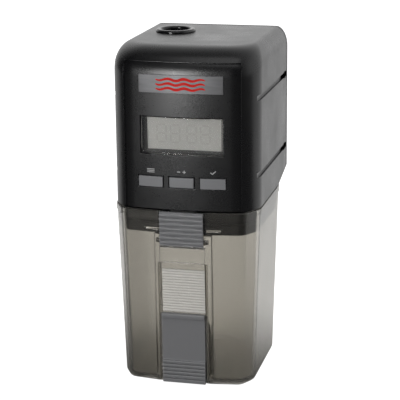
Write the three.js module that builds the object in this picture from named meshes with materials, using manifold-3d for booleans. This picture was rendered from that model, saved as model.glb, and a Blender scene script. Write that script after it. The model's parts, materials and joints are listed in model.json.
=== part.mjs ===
// Automatic fish feeder: a battery-powered motor housing with a display and three keys,
// and below it a turning, tapered food drum with a dosing slide and a latch.
//
// Units are millimetres. +Z is up, -Y is the front with the display, and the origin is the
// centre of the drum's flat base. The drum turns about the Z axis.

import * as THREE from 'three';
import { mergeVertices } from 'three/addons/utils/BufferGeometryUtils.js';
import Module from 'manifold-3d';

const wasm = await Module();
wasm.setup();

// ---- Driving dimensions ----

const GAP = 0.3;                // clearance between neighbouring pieces
const BEYOND = 2;               // how far a cutting block reaches past the wall that it opens

// Housing: half width, distances of its front and back from the drum's axis, and heights.
const HOUSING_SIDE = 34;
const HOUSING_FRONT = 35;
const HOUSING_BACK = 43.1;
const HOUSING_BOTTOM = 84;
const HOUSING_TOP = 157.5;
const HOUSING_WALL = 2;
const BOW_RADIUS = 150;         // the front is slightly bowed
const BOW_CENTRE = BOW_RADIUS - HOUSING_FRONT;
const CORNER_RADIUS = 13.8;
const BROW_RADIUS = 13;         // rounding between the front and the top
const SHOULDER_WIDTH = 5.6;     // rounding between a side and the top
const SHOULDER_HEIGHT = 9.5;
const BACK_COVER_THICKNESS = 2.4;
const SEAM = HOUSING_BACK - BACK_COVER_THICKNESS - GAP;
const TAIL_START = 22;          // behind this the underside rises to the back
const TAIL_RISE = 4.8;
const PANEL_SIDE = 27;          // the recessed front panel
const PANEL_TOP = 151.2;
const PANEL_DEPTH = 0.7;
const DECK_THICKNESS = 1.7;

// Display, badge and keys.
const DISPLAY_SIDE = 19.3;
const DISPLAY_BOTTOM = 109.4;
const DISPLAY_TOP = 126.7;
const DISPLAY_DEPTH = 8;
const BADGE_SIDE = 19.4;
const BADGE_BOTTOM = 137.6;
const BADGE_TOP = 145.8;
const KEY_PITCH = 14.4;
const KEY_WIDTH = 11.4;
const KEY_HEIGHT = 4.8;
const KEY_LEVEL = 96.85;
const KEY_STANDS_OUT = 0.6;
const KEY_FLANGE = 0.9;
const KEY_NAMES = ['left', 'middle', 'right'];
const BOARD_FRONT = -23.5;
const BOARD_THICKNESS = 1.5;

// Side grooves for the rails of the tank bracket.
const GROOVE_LEVELS = [99.7, 134.9];
const GROOVE_HEIGHT = 2.4;
const GROOVE_DEPTH = 1.2;
const GROOVE_FRONT = -24.5;
const POCKET_FRONT = 33.5;
const POCKET_BACK = 38.2;
const POCKET_HEIGHT = 3.2;

// Air inlet and its fan.
const INLET_X = -15;
const INLET_Y = 17.2;
const INLET_RADIUS = 9.35;
const INLET_HEIGHT = 1.4;
const GRILLE_TOP = 154.3;       // the inlet is open down to the grille
const GRILLE_THICKNESS = 1;
const GRILLE_SLOTS = [-3.6, -1.2, 1.2, 3.6];
const DUCT_RADIUS = 7.5;
const IMPELLER_BOTTOM = 149.2;
const IMPELLER_TOP = 152.7;
const FAN_BLADES = 5;

// Battery bay: four AA cells side by side behind the works.
const CELL_RADIUS = 7.1;
const CELL_LENGTH = 49.4;
const CELL_PITCH = 14.9;
const CELL_Y = 31.4;
const CELL_BOTTOM = 95;
const BAY_SIDE = 30.6;
const BAY_FRONT = 21.7;
const BAY_BOTTOM = 91.2;
const BAY_TOP = 147.2;
const BAY_WALL = 1.3;
const DOOR_SIDE = 29.7;
const DOOR_TOP = 147;
const DOOR_BOTTOM = 89.2;
const TONGUE = 1;

// Gear train: module, teeth and the directions from one axis to the next.
const GEAR_MODULE = 0.6;
const PRESSURE_ANGLE = THREE.MathUtils.degToRad(25);
const BACKLASH = 0.16;
const OUTPUT_TEETH = 48;
const WHEEL_TEETH = 36;
const PINION_TEETH = 12;
const FIRST_DIRECTION = Math.PI;
const SECOND_DIRECTION = THREE.MathUtils.degToRad(25);
const THIRD_DIRECTION = THREE.MathUtils.degToRad(-20);
const OUTPUT_AXIS = new THREE.Vector2(0, 0);
const FIRST_AXIS = nextAxis(OUTPUT_AXIS, OUTPUT_TEETH, FIRST_DIRECTION);
const SECOND_AXIS = nextAxis(FIRST_AXIS, WHEEL_TEETH, SECOND_DIRECTION);
const MOTOR_AXIS = nextAxis(SECOND_AXIS, WHEEL_TEETH, THIRD_DIRECTION);
const GEAR_PIN_RADIUS = 1;
const GEAR_BORE_RADIUS = 1.3;
const SHAFT_RADIUS = 4;
const FACE_WIDTH = 2.6;
const LAYER_1 = 88.2;           // output gear
const LAYER_2 = 92.3;           // first wheel
const LAYER_3 = 95.4;           // second wheel
const CLIP_BOTTOM = LAYER_1 + FACE_WIDTH + 0.15;
const CLIP_THICKNESS = 0.7;
const SHAFT_TOP = CLIP_BOTTOM + CLIP_THICKNESS + 0.3;
const GEARBOX_BASE = 86.5;
const GEARBOX_TOP = 99.6;
const POSTS = [[-28, -13.5], [-28, 13.5], [18, -14.2], [18, 14.2]];

// Drum: half width and half depth at its rim, its slanted corners and its draft.
const DRUM_SIDE = 33.9;
const DRUM_FRONT = 35.5;
const DRUM_FLAT = 9.5;          // half width of the flat middle of the bowed front
const DRUM_SHOULDER = 28.5;
const DRUM_SHOULDER_Y = 32.8;
const DRUM_SIDE_Y = 23.05;
const DRUM_CORNER = 2;
const DRUM_TOP = 83.6;
const DRUM_WALL = 1.6;
const DRUM_FLOOR = 2;
const DRUM_BASE_RADIUS = 2.2;
const DRUM_FLANGE = 2.9;
const FLANGE_STANDS_OUT = 0.3;
const DRAFT = THREE.MathUtils.degToRad(1.86);
const HUB_TOP = 83.4;
const HUB_BOTTOM = 73;
const HUB_WALL = 1.6;
const SEAL_BOTTOM = 77.2;
const SEAL_HEIGHT = 1.4;
const SEAL_DEPTH = 0.9;

// Track on the drum's front, in a frame that leans with the wall: x across, y into the wall
// from its outer face, z up the wall from the base.
const TRACK_Y = -(DRUM_FRONT - HOUSING_BOTTOM * Math.tan(DRAFT));
const TRACK_SIDE = 10.5;
const TRACK_BOSS_SIDE = 13.2;
const TRACK_BOSS_DEPTH = 5.2;
const TRACK_BOSS_TOP = 72.4;
const TRACK_TOP = 59;
const TRACK_DEPTH = 3.4;
const TRACK_UPPER_DEPTH = 0.8;
const TRACK_GROOVE_SIDE = 11.6;
const OUTLET_SIDE = 8.6;
const OUTLET_BOTTOM = 4;
const OUTLET_TOP = 24.5;
const SCALE_BOTTOM = 34.6;
const SCALE_TOP = 55.4;
const SCALE_RIBS = 16;
const SLIDE_TOP = 34.6;
const SLIDE_LIP = 2.4;
const SLIDE_FOOT = 2.2;
const GRIP_RIBS = 5;
const GRIP_PITCH = 1.8;
const LATCH_SIDE = 10.2;
const LATCH_BOTTOM = 67.5;
const LATCH_TOP = 83.5;
const LATCH_PIVOT_Y = 1.6;
const LATCH_PIVOT_Z = 69.7;
const LATCH_RIBS = 7;
const HOOK_SIDE = 5.6;
const HOOD_SIDE = 11;           // the hood over the outlet, inside the drum
const HOOD_NEAR = 5.7;
const HOOD_FAR = 15.6;
const HOOD_TOP = 30.5;
const HOOD_MOUTH = 10.5;        // the food enters between the floor and the hood's lower edge
const HOOD_WALL = 1.2;
const SNAP_X = 14.2;            // slots in the hub's collar and ribs inside the drum
const SNAP_LENGTH = 7;
const SNAP_LEVEL = [74.2, 75.3];
const SNAP_HEIGHT = 0.15;

// ---- Materials ----

function plastic(color, roughness) {
  return new THREE.MeshStandardMaterial({ color, roughness, metalness: 0 });
}

function metal(color, roughness) {
  return new THREE.MeshStandardMaterial({ color, roughness, metalness: 1 });
}

const black = plastic(0x1e1e21, 0.45);
const innerBlack = plastic(0x151516, 0.6);
const grey = plastic(0x6e6f73, 0.5);
const white = plastic(0xd9d7d0, 0.45);
const naturalNylon = plastic(0xd8d2bf, 0.5);
const rubber = plastic(0x141414, 0.9);
const green = plastic(0x1d4a2a, 0.5);
const silver = metal(0x9a9b9d, 0.35);
const steel = metal(0xa8a9ab, 0.3);
const brass = metal(0xb08d4a, 0.35);
const cellLabel = plastic(0x2f5f8f, 0.4);
const liquidCrystal = plastic(0x8f8f88, 0.2);
const clear = new THREE.MeshStandardMaterial({
  color: 0xf2f5f5, roughness: 0.05, metalness: 0, transparent: true, opacity: 0.25,
});
const smoke = new THREE.MeshStandardMaterial({
  color: 0x8f8a7e, roughness: 0.12, metalness: 0, transparent: true, opacity: 0.55,
});

// ---- Building blocks ----

// A closed geometry as a solid that can be joined to others and cut.
function solid(geometry) {
  const bare = geometry.clone();
  bare.deleteAttribute('normal');
  bare.deleteAttribute('uv');
  const merged = mergeVertices(bare, 1e-4);
  return new wasm.Manifold(new wasm.Mesh({
    numProp: 3,
    vertProperties: new Float32Array(merged.attributes.position.array),
    triVerts: new Uint32Array(merged.index.array),
  }));
}

function geometryOf(body) {
  const mesh = body.getMesh();
  const geometry = new THREE.BufferGeometry();
  geometry.setAttribute('position', new THREE.BufferAttribute(mesh.vertProperties, 3));
  geometry.setIndex(new THREE.BufferAttribute(mesh.triVerts, 1));
  geometry.computeVertexNormals();
  return geometry;
}

function join(...geometries) {
  return geometries.map(solid).reduce((whole, piece) => whole.add(piece));
}

function cut(body, ...geometries) {
  return geometries.map(solid).reduce((rest, piece) => rest.subtract(piece), body);
}

// The two ends of a length about its middle.
function around(middle, size) {
  return [middle - size / 2, middle + size / 2];
}

// A box between two values on each axis.
function block([x0, x1], [y0, y1], [z0, z1]) {
  const box = new THREE.BoxGeometry(x1 - x0, y1 - y0, z1 - z0);
  return box.translate((x0 + x1) / 2, (y0 + y1) / 2, (z0 + z1) / 2);
}

// Round bars along the Z, Y and X axes.
function rodZ(radius, x, y, [z0, z1], sides = 24) {
  const rod = new THREE.CylinderGeometry(radius, radius, z1 - z0, sides);
  return rod.rotateX(Math.PI / 2).translate(x, y, (z0 + z1) / 2);
}

function rodY(radius, x, z, [y0, y1], sides = 20) {
  const rod = new THREE.CylinderGeometry(radius, radius, y1 - y0, sides);
  return rod.translate(x, (y0 + y1) / 2, z);
}

function rodX(radius, y, z, [x0, x1], sides = 16) {
  const rod = new THREE.CylinderGeometry(radius, radius, x1 - x0, sides);
  return rod.rotateZ(Math.PI / 2).translate((x0 + x1) / 2, y, z);
}

// An upright prism on a plan in X and Y.
function prism(plan, [z0, z1]) {
  const shape = new THREE.Shape(plan);
  const geometry = new THREE.ExtrudeGeometry(shape, { depth: z1 - z0, bevelEnabled: false });
  return geometry.translate(0, 0, z0);
}

// A prism along X on a profile whose points are [y, z].
function beam(profile, [x0, x1]) {
  const shape = new THREE.Shape(profile.map(([y, z]) => new THREE.Vector2(y, z)));
  const geometry = new THREE.ExtrudeGeometry(shape, { depth: x1 - x0, bevelEnabled: false });
  return geometry.rotateZ(Math.PI / 2).rotateY(Math.PI / 2).translate(x0, 0, 0);
}

// A turned piece about an upright axis, from a closed profile whose points are [radius, z].
function turned(profile, x, y, sides = 32) {
  const points = [...profile, profile[0]].map(([radius, z]) => new THREE.Vector2(radius, z));
  return new THREE.LatheGeometry(points, sides).rotateX(Math.PI / 2).translate(x, y, 0);
}

// A closed body through plans of equal length, each at its own height.
function loft(sections) {
  const count = sections[0].plan.length;
  const position = sections.flatMap(({ plan, z }) => plan.flatMap(({ x, y }) => [x, y, z]));
  const index = [];
  for (let level = 0; level < sections.length - 1; level += 1) {
    for (let i = 0; i < count; i += 1) {
      const a = level * count + i;
      const b = level * count + (i + 1) % count;
      index.push(a, b, a + count, b, b + count, a + count);
    }
  }
  const last = (sections.length - 1) * count;
  for (const [a, b, c] of THREE.ShapeUtils.triangulateShape(sections[0].plan, [])) {
    index.push(c, b, a, a + last, b + last, c + last);
  }
  const geometry = new THREE.BufferGeometry();
  geometry.setAttribute('position', new THREE.Float32BufferAttribute(position, 3));
  geometry.setIndex(index);
  return geometry;
}

function arc(x, y, radius, from, to, steps) {
  return Array.from({ length: steps + 1 }, (_, i) => {
    const angle = from + (to - from) * i / steps;
    return new THREE.Vector2(x + radius * Math.cos(angle), y + radius * Math.sin(angle));
  });
}

// ---- Plans ----

// The housing's plan: a bowed front, round front corners, flat sides and a flat back.
function housingPlan(side, front, back, corner) {
  const bow = BOW_CENTRE + front;
  const cornerX = side - corner;
  const cornerY = BOW_CENTRE - Math.sqrt((bow - corner) ** 2 - cornerX ** 2);
  const lean = Math.atan2(cornerY - BOW_CENTRE, cornerX);
  const right = [
    ...arc(0, BOW_CENTRE, bow, -Math.PI / 2, lean, 5),
    ...arc(cornerX, cornerY, corner, lean, 0, 6).slice(1),
    new THREE.Vector2(side, back),
  ];
  const left = right.slice(1).map(({ x, y }) => new THREE.Vector2(-x, y)).reverse();
  return [...right, ...left];
}

// How far a quarter round has drawn in, from 0 at its foot to 1 at its top.
function quarterRound(up) {
  return 1 - Math.sqrt(1 - THREE.MathUtils.clamp(up, 0, 1) ** 2);
}

// The housing's full body, all its faces moved inward by inset except the back and the bottom.
function housingBody(inset, bottom, back) {
  const top = HOUSING_TOP - inset;
  const brow = BROW_RADIUS - inset;
  const shoulder = SHOULDER_HEIGHT - inset;
  const steps = 5;
  const heights = Array.from({ length: steps + 1 }, (_, i) => {
    return top - brow + brow * Math.sin(Math.PI / 2 * i / steps);
  });
  const sections = [bottom, ...heights].map((z) => {
    const front = HOUSING_FRONT - inset - brow * quarterRound((z - top + brow) / brow);
    const narrow = SHOULDER_WIDTH - inset / 2;
    const side = HOUSING_SIDE - inset - narrow * quarterRound((z - top + shoulder) / shoulder);
    return { plan: housingPlan(side, front, back, CORNER_RADIUS - inset), z };
  });
  return loft(sections);
}

function inward(from, to) {
  const along = to.clone().sub(from).normalize();
  return new THREE.Vector2(-along.y, along.x);
}

// A convex plan with every side moved inward by the same distance.
function insetPlan(plan, distance) {
  return plan.map((point, i) => {
    const first = inward(plan.at(i - 1), point);
    const second = inward(point, plan[(i + 1) % plan.length]);
    const reach = distance / (1 + first.dot(second));
    return point.clone().addScaledVector(first.add(second), reach);
  });
}

// A plan with each corner replaced by a short curve that starts at the given distance from it.
function softenPlan(plan, distance) {
  return plan.flatMap((point, i) => {
    const before = plan.at(i - 1).clone().sub(point).setLength(distance).add(point);
    const after = plan[(i + 1) % plan.length].clone().sub(point).setLength(distance).add(point);
    const middle = before.clone().add(after).addScaledVector(point, 2).divideScalar(4);
    return [before, middle, after];
  });
}

// The drum's plan: flat sides, slanted corners and a faceted bow at the front and back.
function drumPlan(inset) {
  const quarter = [
    [DRUM_FLAT, -DRUM_FRONT],
    [DRUM_SHOULDER, -DRUM_SHOULDER_Y],
    [DRUM_SIDE, -DRUM_SIDE_Y],
  ];
  const right = [...quarter, ...quarter.map(([x, y]) => [x, -y]).reverse()];
  const whole = [...right, ...right.map(([x, y]) => [-x, y]).reverse()];
  const plan = whole.map(([x, y]) => new THREE.Vector2(x, y));
  return softenPlan(insetPlan(plan, inset), DRUM_CORNER);
}

// How far the drum's outer wall has drawn in at a height.
function draftAt(z) {
  return (HOUSING_BOTTOM - z) * Math.tan(DRAFT);
}

// A body that follows the drum's drafted wall at a depth below its outer face.
function draftedBody(depth, [z0, z1]) {
  return loft([z0, z1].map((z) => ({ plan: drumPlan(draftAt(z) + depth), z })));
}

// ---- Housing ----

// Two grooves with round front ends in the side wall that stands at +1 or -1 times X, each
// with a deeper pocket near the back.
function sideGrooves(side) {
  const reach = (depth) => {
    const wall = side * (HOUSING_SIDE - depth);
    const out = side * (HOUSING_SIDE + BEYOND);
    return [Math.min(wall, out), Math.max(wall, out)];
  };
  return GROOVE_LEVELS.flatMap((z) => [
    block(reach(GROOVE_DEPTH), [GROOVE_FRONT, HOUSING_BACK + BEYOND], around(z, GROOVE_HEIGHT)),
    rodX(GROOVE_HEIGHT / 2, GROOVE_FRONT, z, reach(GROOVE_DEPTH)),
    block(reach(HOUSING_WALL + BEYOND), [POCKET_FRONT, POCKET_BACK], around(z, POCKET_HEIGHT)),
  ]);
}

// The wedge below the housing's rising tail.
function tailWedge() {
  const low = HOUSING_BOTTOM - BEYOND;
  const back = HOUSING_BACK + BEYOND;
  const rise = TAIL_RISE * (back - TAIL_START) / (HOUSING_BACK - TAIL_START);
  const profile = [
    [TAIL_START, low],
    [back, low],
    [back, HOUSING_BOTTOM + rise],
    [TAIL_START, HOUSING_BOTTOM],
  ];
  return beam(profile, around(0, 3 * HOUSING_SIDE));
}

function keyX(i) {
  return (i - 1) * KEY_PITCH;
}

// Two screw bosses hang from the roof of the front shell, above the battery door.
const BOSSES = [[-27.4, 152.8], [27.4, 152.8]];

function frontHousing() {
  const shell = cut(
    solid(housingBody(0, HOUSING_BOTTOM, SEAM)),
    housingBody(HOUSING_WALL, HOUSING_BOTTOM - BEYOND, SEAM + BEYOND),
    tailWedge(),
    rodZ(7.7, INLET_X, INLET_Y, around(HOUSING_TOP, 3 * HOUSING_WALL)),
    block(around(0, 2 * DISPLAY_SIDE), [-HOUSING_FRONT - BEYOND, -HOUSING_FRONT + 5],
      [DISPLAY_BOTTOM, DISPLAY_TOP]),
    ...sideGrooves(1),
    ...sideGrooves(-1),
    ...KEY_NAMES.map((_, i) => block(around(keyX(i), KEY_WIDTH + 2 * GAP),
      [-HOUSING_FRONT - BEYOND, -HOUSING_FRONT + 5], around(KEY_LEVEL, KEY_HEIGHT + 2 * GAP))),
  );
  const panel = block(around(0, 2 * PANEL_SIDE), [-HOUSING_FRONT - BEYOND, -HOUSING_FRONT + 10],
    [HOUSING_BOTTOM - BEYOND, PANEL_TOP]);
  const recess = cut(solid(panel), housingBody(PANEL_DEPTH, HOUSING_BOTTOM - 2 * BEYOND, SEAM));
  const bosses = BOSSES.map(([x, z]) => rodY(2.9, x, z, [SEAM - 9, SEAM], 12));
  const holes = BOSSES.map(([x, z]) => rodY(1.1, x, z, [SEAM - 8, SEAM + BEYOND], 12));
  const trimmed = join(...bosses).intersect(solid(housingBody(0.5, HOUSING_BOTTOM, SEAM)));
  return cut(shell.subtract(recess).add(trimmed), ...holes);
}

// The flat back plate, with a slot for the battery door that is open at its lower edge.
function backCover() {
  const y = [HOUSING_BACK - BACK_COVER_THICKNESS, HOUSING_BACK];
  const low = HOUSING_BOTTOM - BEYOND;
  const middle = (y[0] + y[1]) / 2;
  const whole = solid(housingBody(0, HOUSING_BOTTOM, HOUSING_BACK));
  const plate = whole.intersect(solid(block(around(0, 3 * HOUSING_SIDE), y, [low, 170])));
  return cut(
    plate,
    tailWedge(),
    block(around(0, 2 * (DOOR_SIDE + GAP)), [y[0] - 1, y[1] + 1], [low, DOOR_TOP + GAP]),
    block(around(0, 2 * (DOOR_SIDE + TONGUE + GAP)), around(middle, 1.2), [low, DOOR_TOP + GAP]),
    ...BOSSES.map(([x, z]) => rodY(1.3, x, z, [y[0] - 1, y[1] + 1], 12)),
    ...BOSSES.map(([x, z]) => rodY(2.3, x, z, [y[1] - 1.3, y[1] + 1], 16)),
  );
}

// The battery door slides down out of the back cover on two side tongues.
function batteryDoor() {
  const y = [HOUSING_BACK - BACK_COVER_THICKNESS, HOUSING_BACK];
  const z = [DOOR_BOTTOM, DOOR_TOP];
  const tongue = around((y[0] + y[1]) / 2, 0.6);
  const ribs = Array.from({ length: 5 }, (_, i) => {
    return block([-8, 8], [y[1] - 0.5, y[1] + 1], around(DOOR_BOTTOM + 8 + 2 * i, 1));
  });
  const plate = join(
    block(around(0, 2 * DOOR_SIDE), y, z),
    block(around(0, 2 * (DOOR_SIDE + TONGUE)), tongue, z),
  );
  return cut(plate, tailWedge(), ...ribs);
}

function coverScrew([x, z]) {
  const top = HOUSING_BACK - 0.1;
  return cut(
    join(rodY(2, x, z, [top - 1, top], 16), rodY(0.8, x, z, [SEAM - 6, top - 0.5], 10)),
    block(around(x, 2.4), [top - 0.5, top + 1], around(z, 0.5)),
    block(around(x, 0.5), [top - 0.5, top + 1], around(z, 2.4)),
  );
}

// The floor that closes the housing below and carries the drum's bearing.
function deckPlate() {
  const low = HOUSING_BOTTOM + GAP;
  const back = SEAM - GAP;
  const rise = TAIL_RISE * (back - TAIL_START) / (HOUSING_BACK - TAIL_START);
  const profile = [
    [-HOUSING_FRONT, low],
    [TAIL_START, low],
    [back, low + rise],
    [back, low + rise + DECK_THICKNESS],
    [TAIL_START, low + DECK_THICKNESS],
    [-HOUSING_FRONT, low + DECK_THICKNESS],
  ];
  const sheet = solid(beam(profile, around(0, 3 * HOUSING_SIDE)));
  const plan = housingBody(HOUSING_WALL + GAP, HOUSING_BOTTOM - BEYOND, SEAM);
  return cut(sheet.intersect(solid(plan)), rodZ(5.9, 0, 0, [low - 1, low + 3]));
}

function bearingBush() {
  const low = HOUSING_BOTTOM + 0.15;
  const lip = HOUSING_BOTTOM + GAP + DECK_THICKNESS + GAP;
  const bore = SHAFT_RADIUS + GAP;
  const profile = [[bore, low], [5.6, low], [5.6, lip], [7, lip], [7, lip + 1.1], [bore, lip + 1.1]];
  return solid(turned(profile, 0, 0, 24));
}

// ---- Display, badge and keys ----

// A band that follows the housing's bowed front between two depths below its outer face.
function bowedBand(side, [near, far], z) {
  const outer = BOW_RADIUS - near;
  const inner = BOW_RADIUS - far;
  const reach = Math.asin(side / BOW_RADIUS);
  const down = -Math.PI / 2;
  const plan = [
    ...arc(0, BOW_CENTRE, outer, down - reach, down + reach, 8),
    ...arc(0, BOW_CENTRE, inner, down + reach, down - reach, 8),
  ];
  return prism(plan, z);
}

function badgePlate() {
  return solid(bowedBand(BADGE_SIDE, [0, PANEL_DEPTH - 0.1], [BADGE_BOTTOM, BADGE_TOP]));
}

function displayLens() {
  const z = [DISPLAY_BOTTOM + GAP, DISPLAY_TOP - GAP];
  return solid(bowedBand(DISPLAY_SIDE - GAP, [1.1, 2.6], z));
}

// The black shroud between the lens and the display glass.
function displayFrame() {
  const y = [-HOUSING_FRONT + 3.6, BOARD_FRONT - GAP];
  const glass = -HOUSING_FRONT + DISPLAY_DEPTH;
  const side = DISPLAY_SIDE + 2.2;
  const z = [DISPLAY_BOTTOM - 2.2, DISPLAY_TOP + 2.2];
  return cut(
    solid(block(around(0, 2 * side), y, z)),
    block(around(0, 2 * (DISPLAY_SIDE - 2)), [y[0] - 1, y[1] + 1],
      [DISPLAY_BOTTOM + 1.4, DISPLAY_TOP - 1.2]),
    block(around(0, 2 * DISPLAY_SIDE), [y[0] - 1, glass - 0.8], [DISPLAY_BOTTOM, DISPLAY_TOP]),
    block(around(0, 2 * (DISPLAY_SIDE + 0.8)), [glass - GAP, y[1] + 1],
      [DISPLAY_BOTTOM - 0.8, DISPLAY_TOP + 0.8]),
  );
}

function displayGlass() {
  const y = [-HOUSING_FRONT + DISPLAY_DEPTH, BOARD_FRONT - GAP];
  return solid(block(around(0, 2 * (DISPLAY_SIDE + 0.5)), y,
    [DISPLAY_BOTTOM - 0.5, DISPLAY_TOP + 0.5]));
}

function circuitBoard() {
  const y = [BOARD_FRONT, BOARD_FRONT + BOARD_THICKNESS];
  return cut(
    solid(block([-28, 28], y, [88, 148])),
    rodY(1.6, -25, 91, [y[0] - 1, y[1] + 1], 12),
    rodY(1.6, 25, 91, [y[0] - 1, y[1] + 1], 12),
  );
}

function controllerChip() {
  const y = BOARD_FRONT + BOARD_THICKNESS + 0.1;
  return solid(block([-6, 6], [y, y + 1.6], [114, 126]));
}

// The key cap shows on the front; a wider flange behind the wall keeps it in.
function key(i) {
  const back = -HOUSING_FRONT + HOUSING_WALL + 2;
  const level = around(KEY_LEVEL, KEY_HEIGHT);
  const bowed = bowedBand(PANEL_SIDE, [PANEL_DEPTH - KEY_STANDS_OUT, 8], level);
  const cap = block(around(keyX(i), KEY_WIDTH), [-HOUSING_FRONT - BEYOND, back + 0.5], level);
  const flange = block(around(keyX(i), KEY_WIDTH + 2 * KEY_FLANGE), [back, back + 1],
    around(KEY_LEVEL, KEY_HEIGHT + 2 * KEY_FLANGE));
  const stem = rodY(1.2, keyX(i), KEY_LEVEL, [back + 0.5, BOARD_FRONT - 3.6], 12);
  return solid(bowed).intersect(solid(cap)).add(join(flange, stem));
}

function keySwitch(i) {
  const y = [BOARD_FRONT - 2.2, BOARD_FRONT - 0.1];
  return join(
    block(around(keyX(i), 5), y, around(KEY_LEVEL, 5)),
    rodY(1, keyX(i), KEY_LEVEL, [y[0] - 0.4, y[0] + 0.5], 12),
  );
}

// ---- Air inlet ----

function inletRing() {
  const roof = HOUSING_TOP + 0.1;
  const top = HOUSING_TOP + INLET_HEIGHT;
  const foot = HOUSING_TOP - HOUSING_WALL;
  return solid(turned([
    [6.7, foot], [7.4, foot], [7.4, roof], [INLET_RADIUS, roof], [INLET_RADIUS, top - 0.5],
    [INLET_RADIUS - 0.5, top], [7.6, top], [6.7, top - 0.9],
  ], INLET_X, INLET_Y, 36));
}

// The grille drops into the mouth of the fan duct.
function inletGrille() {
  const z = [GRILLE_TOP - GRILLE_THICKNESS, GRILLE_TOP];
  const slots = GRILLE_SLOTS.map((x) => {
    const length = 2 * Math.sqrt(5.6 ** 2 - x ** 2);
    return block(around(INLET_X + x, 1.3), around(INLET_Y, length), [z[0] - 1, z[1] + 1]);
  });
  return cut(solid(rodZ(DUCT_RADIUS - GAP, INLET_X, INLET_Y, z, 32)), ...slots);
}

// The cup below the roof that the impeller turns in, with a bridge for its motor.
function fanDuct() {
  const top = HOUSING_TOP - HOUSING_WALL - GAP;
  const low = BAY_TOP + 0.5;
  const wall = cut(solid(rodZ(DUCT_RADIUS + 1, INLET_X, INLET_Y, [low, top], 32)),
    rodZ(DUCT_RADIUS, INLET_X, INLET_Y, [low - 1, top + 1], 32));
  const bridge = cut(
    join(
      block(around(INLET_X, 16), around(INLET_Y, 2), [low, low + 1]),
      block(around(INLET_X, 2), around(INLET_Y, 16), [low, low + 1]),
      rodZ(3.2, INLET_X, INLET_Y, [low, low + 1], 16),
    ),
    rodZ(1.2, INLET_X, INLET_Y, [low - 1, low + 2], 12),
  );
  return wall.add(bridge);
}

function fanMotor() {
  return cut(solid(rodZ(4, INLET_X, INLET_Y, [139, BAY_TOP + 0.2], 20)),
    rodZ(0.9, INLET_X, INLET_Y, [144, BAY_TOP + 1], 12));
}

function fanImpeller() {
  const z = [IMPELLER_BOTTOM, IMPELLER_TOP];
  const hub = join(
    rodZ(2.6, INLET_X, INLET_Y, z, 16),
    rodZ(0.6, INLET_X, INLET_Y, [z[0] - 4, z[0] + 1], 10),
  );
  const blades = Array.from({ length: FAN_BLADES }, (_, i) => {
    const blade = new THREE.BoxGeometry(4.8, 0.6, z[1] - z[0] - 0.6);
    blade.rotateX(Math.PI / 5).translate(4.2, 0, (z[0] + z[1]) / 2);
    return blade.rotateZ(2 * Math.PI * i / FAN_BLADES).translate(INLET_X, INLET_Y, 0);
  });
  return hub.add(join(...blades).intersect(solid(rodZ(7, INLET_X, INLET_Y, z))));
}

// ---- Battery bay ----

function cellX(i) {
  return (i - 1.5) * CELL_PITCH;
}

// The tray is open at the back; low ribs keep the cells apart.
function batteryTray() {
  const back = SEAM - 0.4;
  const bay = [BAY_FRONT + BAY_WALL, back + 1];
  const ribs = [-1, 0, 1].map((i) => {
    return block(around(i * CELL_PITCH, 0.5), [BAY_FRONT + 0.5, CELL_Y - 2],
      [CELL_BOTTOM + 8, CELL_BOTTOM + CELL_LENGTH - 8]);
  });
  const box = cut(
    solid(block(around(0, 2 * BAY_SIDE), [BAY_FRONT, back], [BAY_BOTTOM, BAY_TOP])),
    block(around(0, 2 * (BAY_SIDE - 0.7)), bay, [BAY_BOTTOM + 0.8, BAY_TOP - 0.7]),
  );
  return box.add(join(...ribs));
}

function cell(i) {
  const z = [CELL_BOTTOM, CELL_BOTTOM + CELL_LENGTH];
  const nub = i % 2 === 0 ? [z[1] - 0.1, z[1] + 0.9] : [z[0] - 0.9, z[0] + 0.1];
  return join(
    rodZ(CELL_RADIUS, cellX(i), CELL_Y, z, 28),
    rodZ(2.6, cellX(i), CELL_Y, nub, 16),
  );
}

// Flat contact plates against the top and bottom of the tray, one or two cells wide.
function contactPlate(from, to, z) {
  const x = [cellX(from) - 5.2, cellX(to) + 5.2];
  return solid(block(x, around(CELL_Y, 9), [z, z + 0.4]));
}

// A conical spring, wide against its plate and narrow against the cell.
function contactSpring(i) {
  const low = i % 2 === 0;
  const plate = low ? BAY_BOTTOM + 1.7 : BAY_TOP - 1.6;
  const end = low ? CELL_BOTTOM - GAP : CELL_BOTTOM + CELL_LENGTH + GAP;
  const wide = [4, plate];
  const narrow = [2.4, end];
  const profile = low
    ? [[0, plate], wide, narrow, [0, end]]
    : [[0, end], narrow, wide, [0, plate]];
  const points = profile.map(([radius, z]) => new THREE.Vector2(radius, z));
  const cone = new THREE.LatheGeometry(points, 14);
  return solid(cone.rotateX(Math.PI / 2).translate(cellX(i), CELL_Y, 0));
}

// ---- Gear train ----

function nextAxis(axis, teeth, direction) {
  const distance = GEAR_MODULE * (teeth + PINION_TEETH) / 2;
  const x = axis.x + distance * Math.cos(direction);
  return new THREE.Vector2(x, axis.y + distance * Math.sin(direction));
}

// The angle of a pinion's first tooth that puts it in mesh with a wheel whose own first tooth
// points along +X, seen from the wheel's axis in the given direction.
function meshPhase(teeth, direction) {
  return direction + Math.PI + (direction * teeth + Math.PI) / PINION_TEETH;
}

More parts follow.
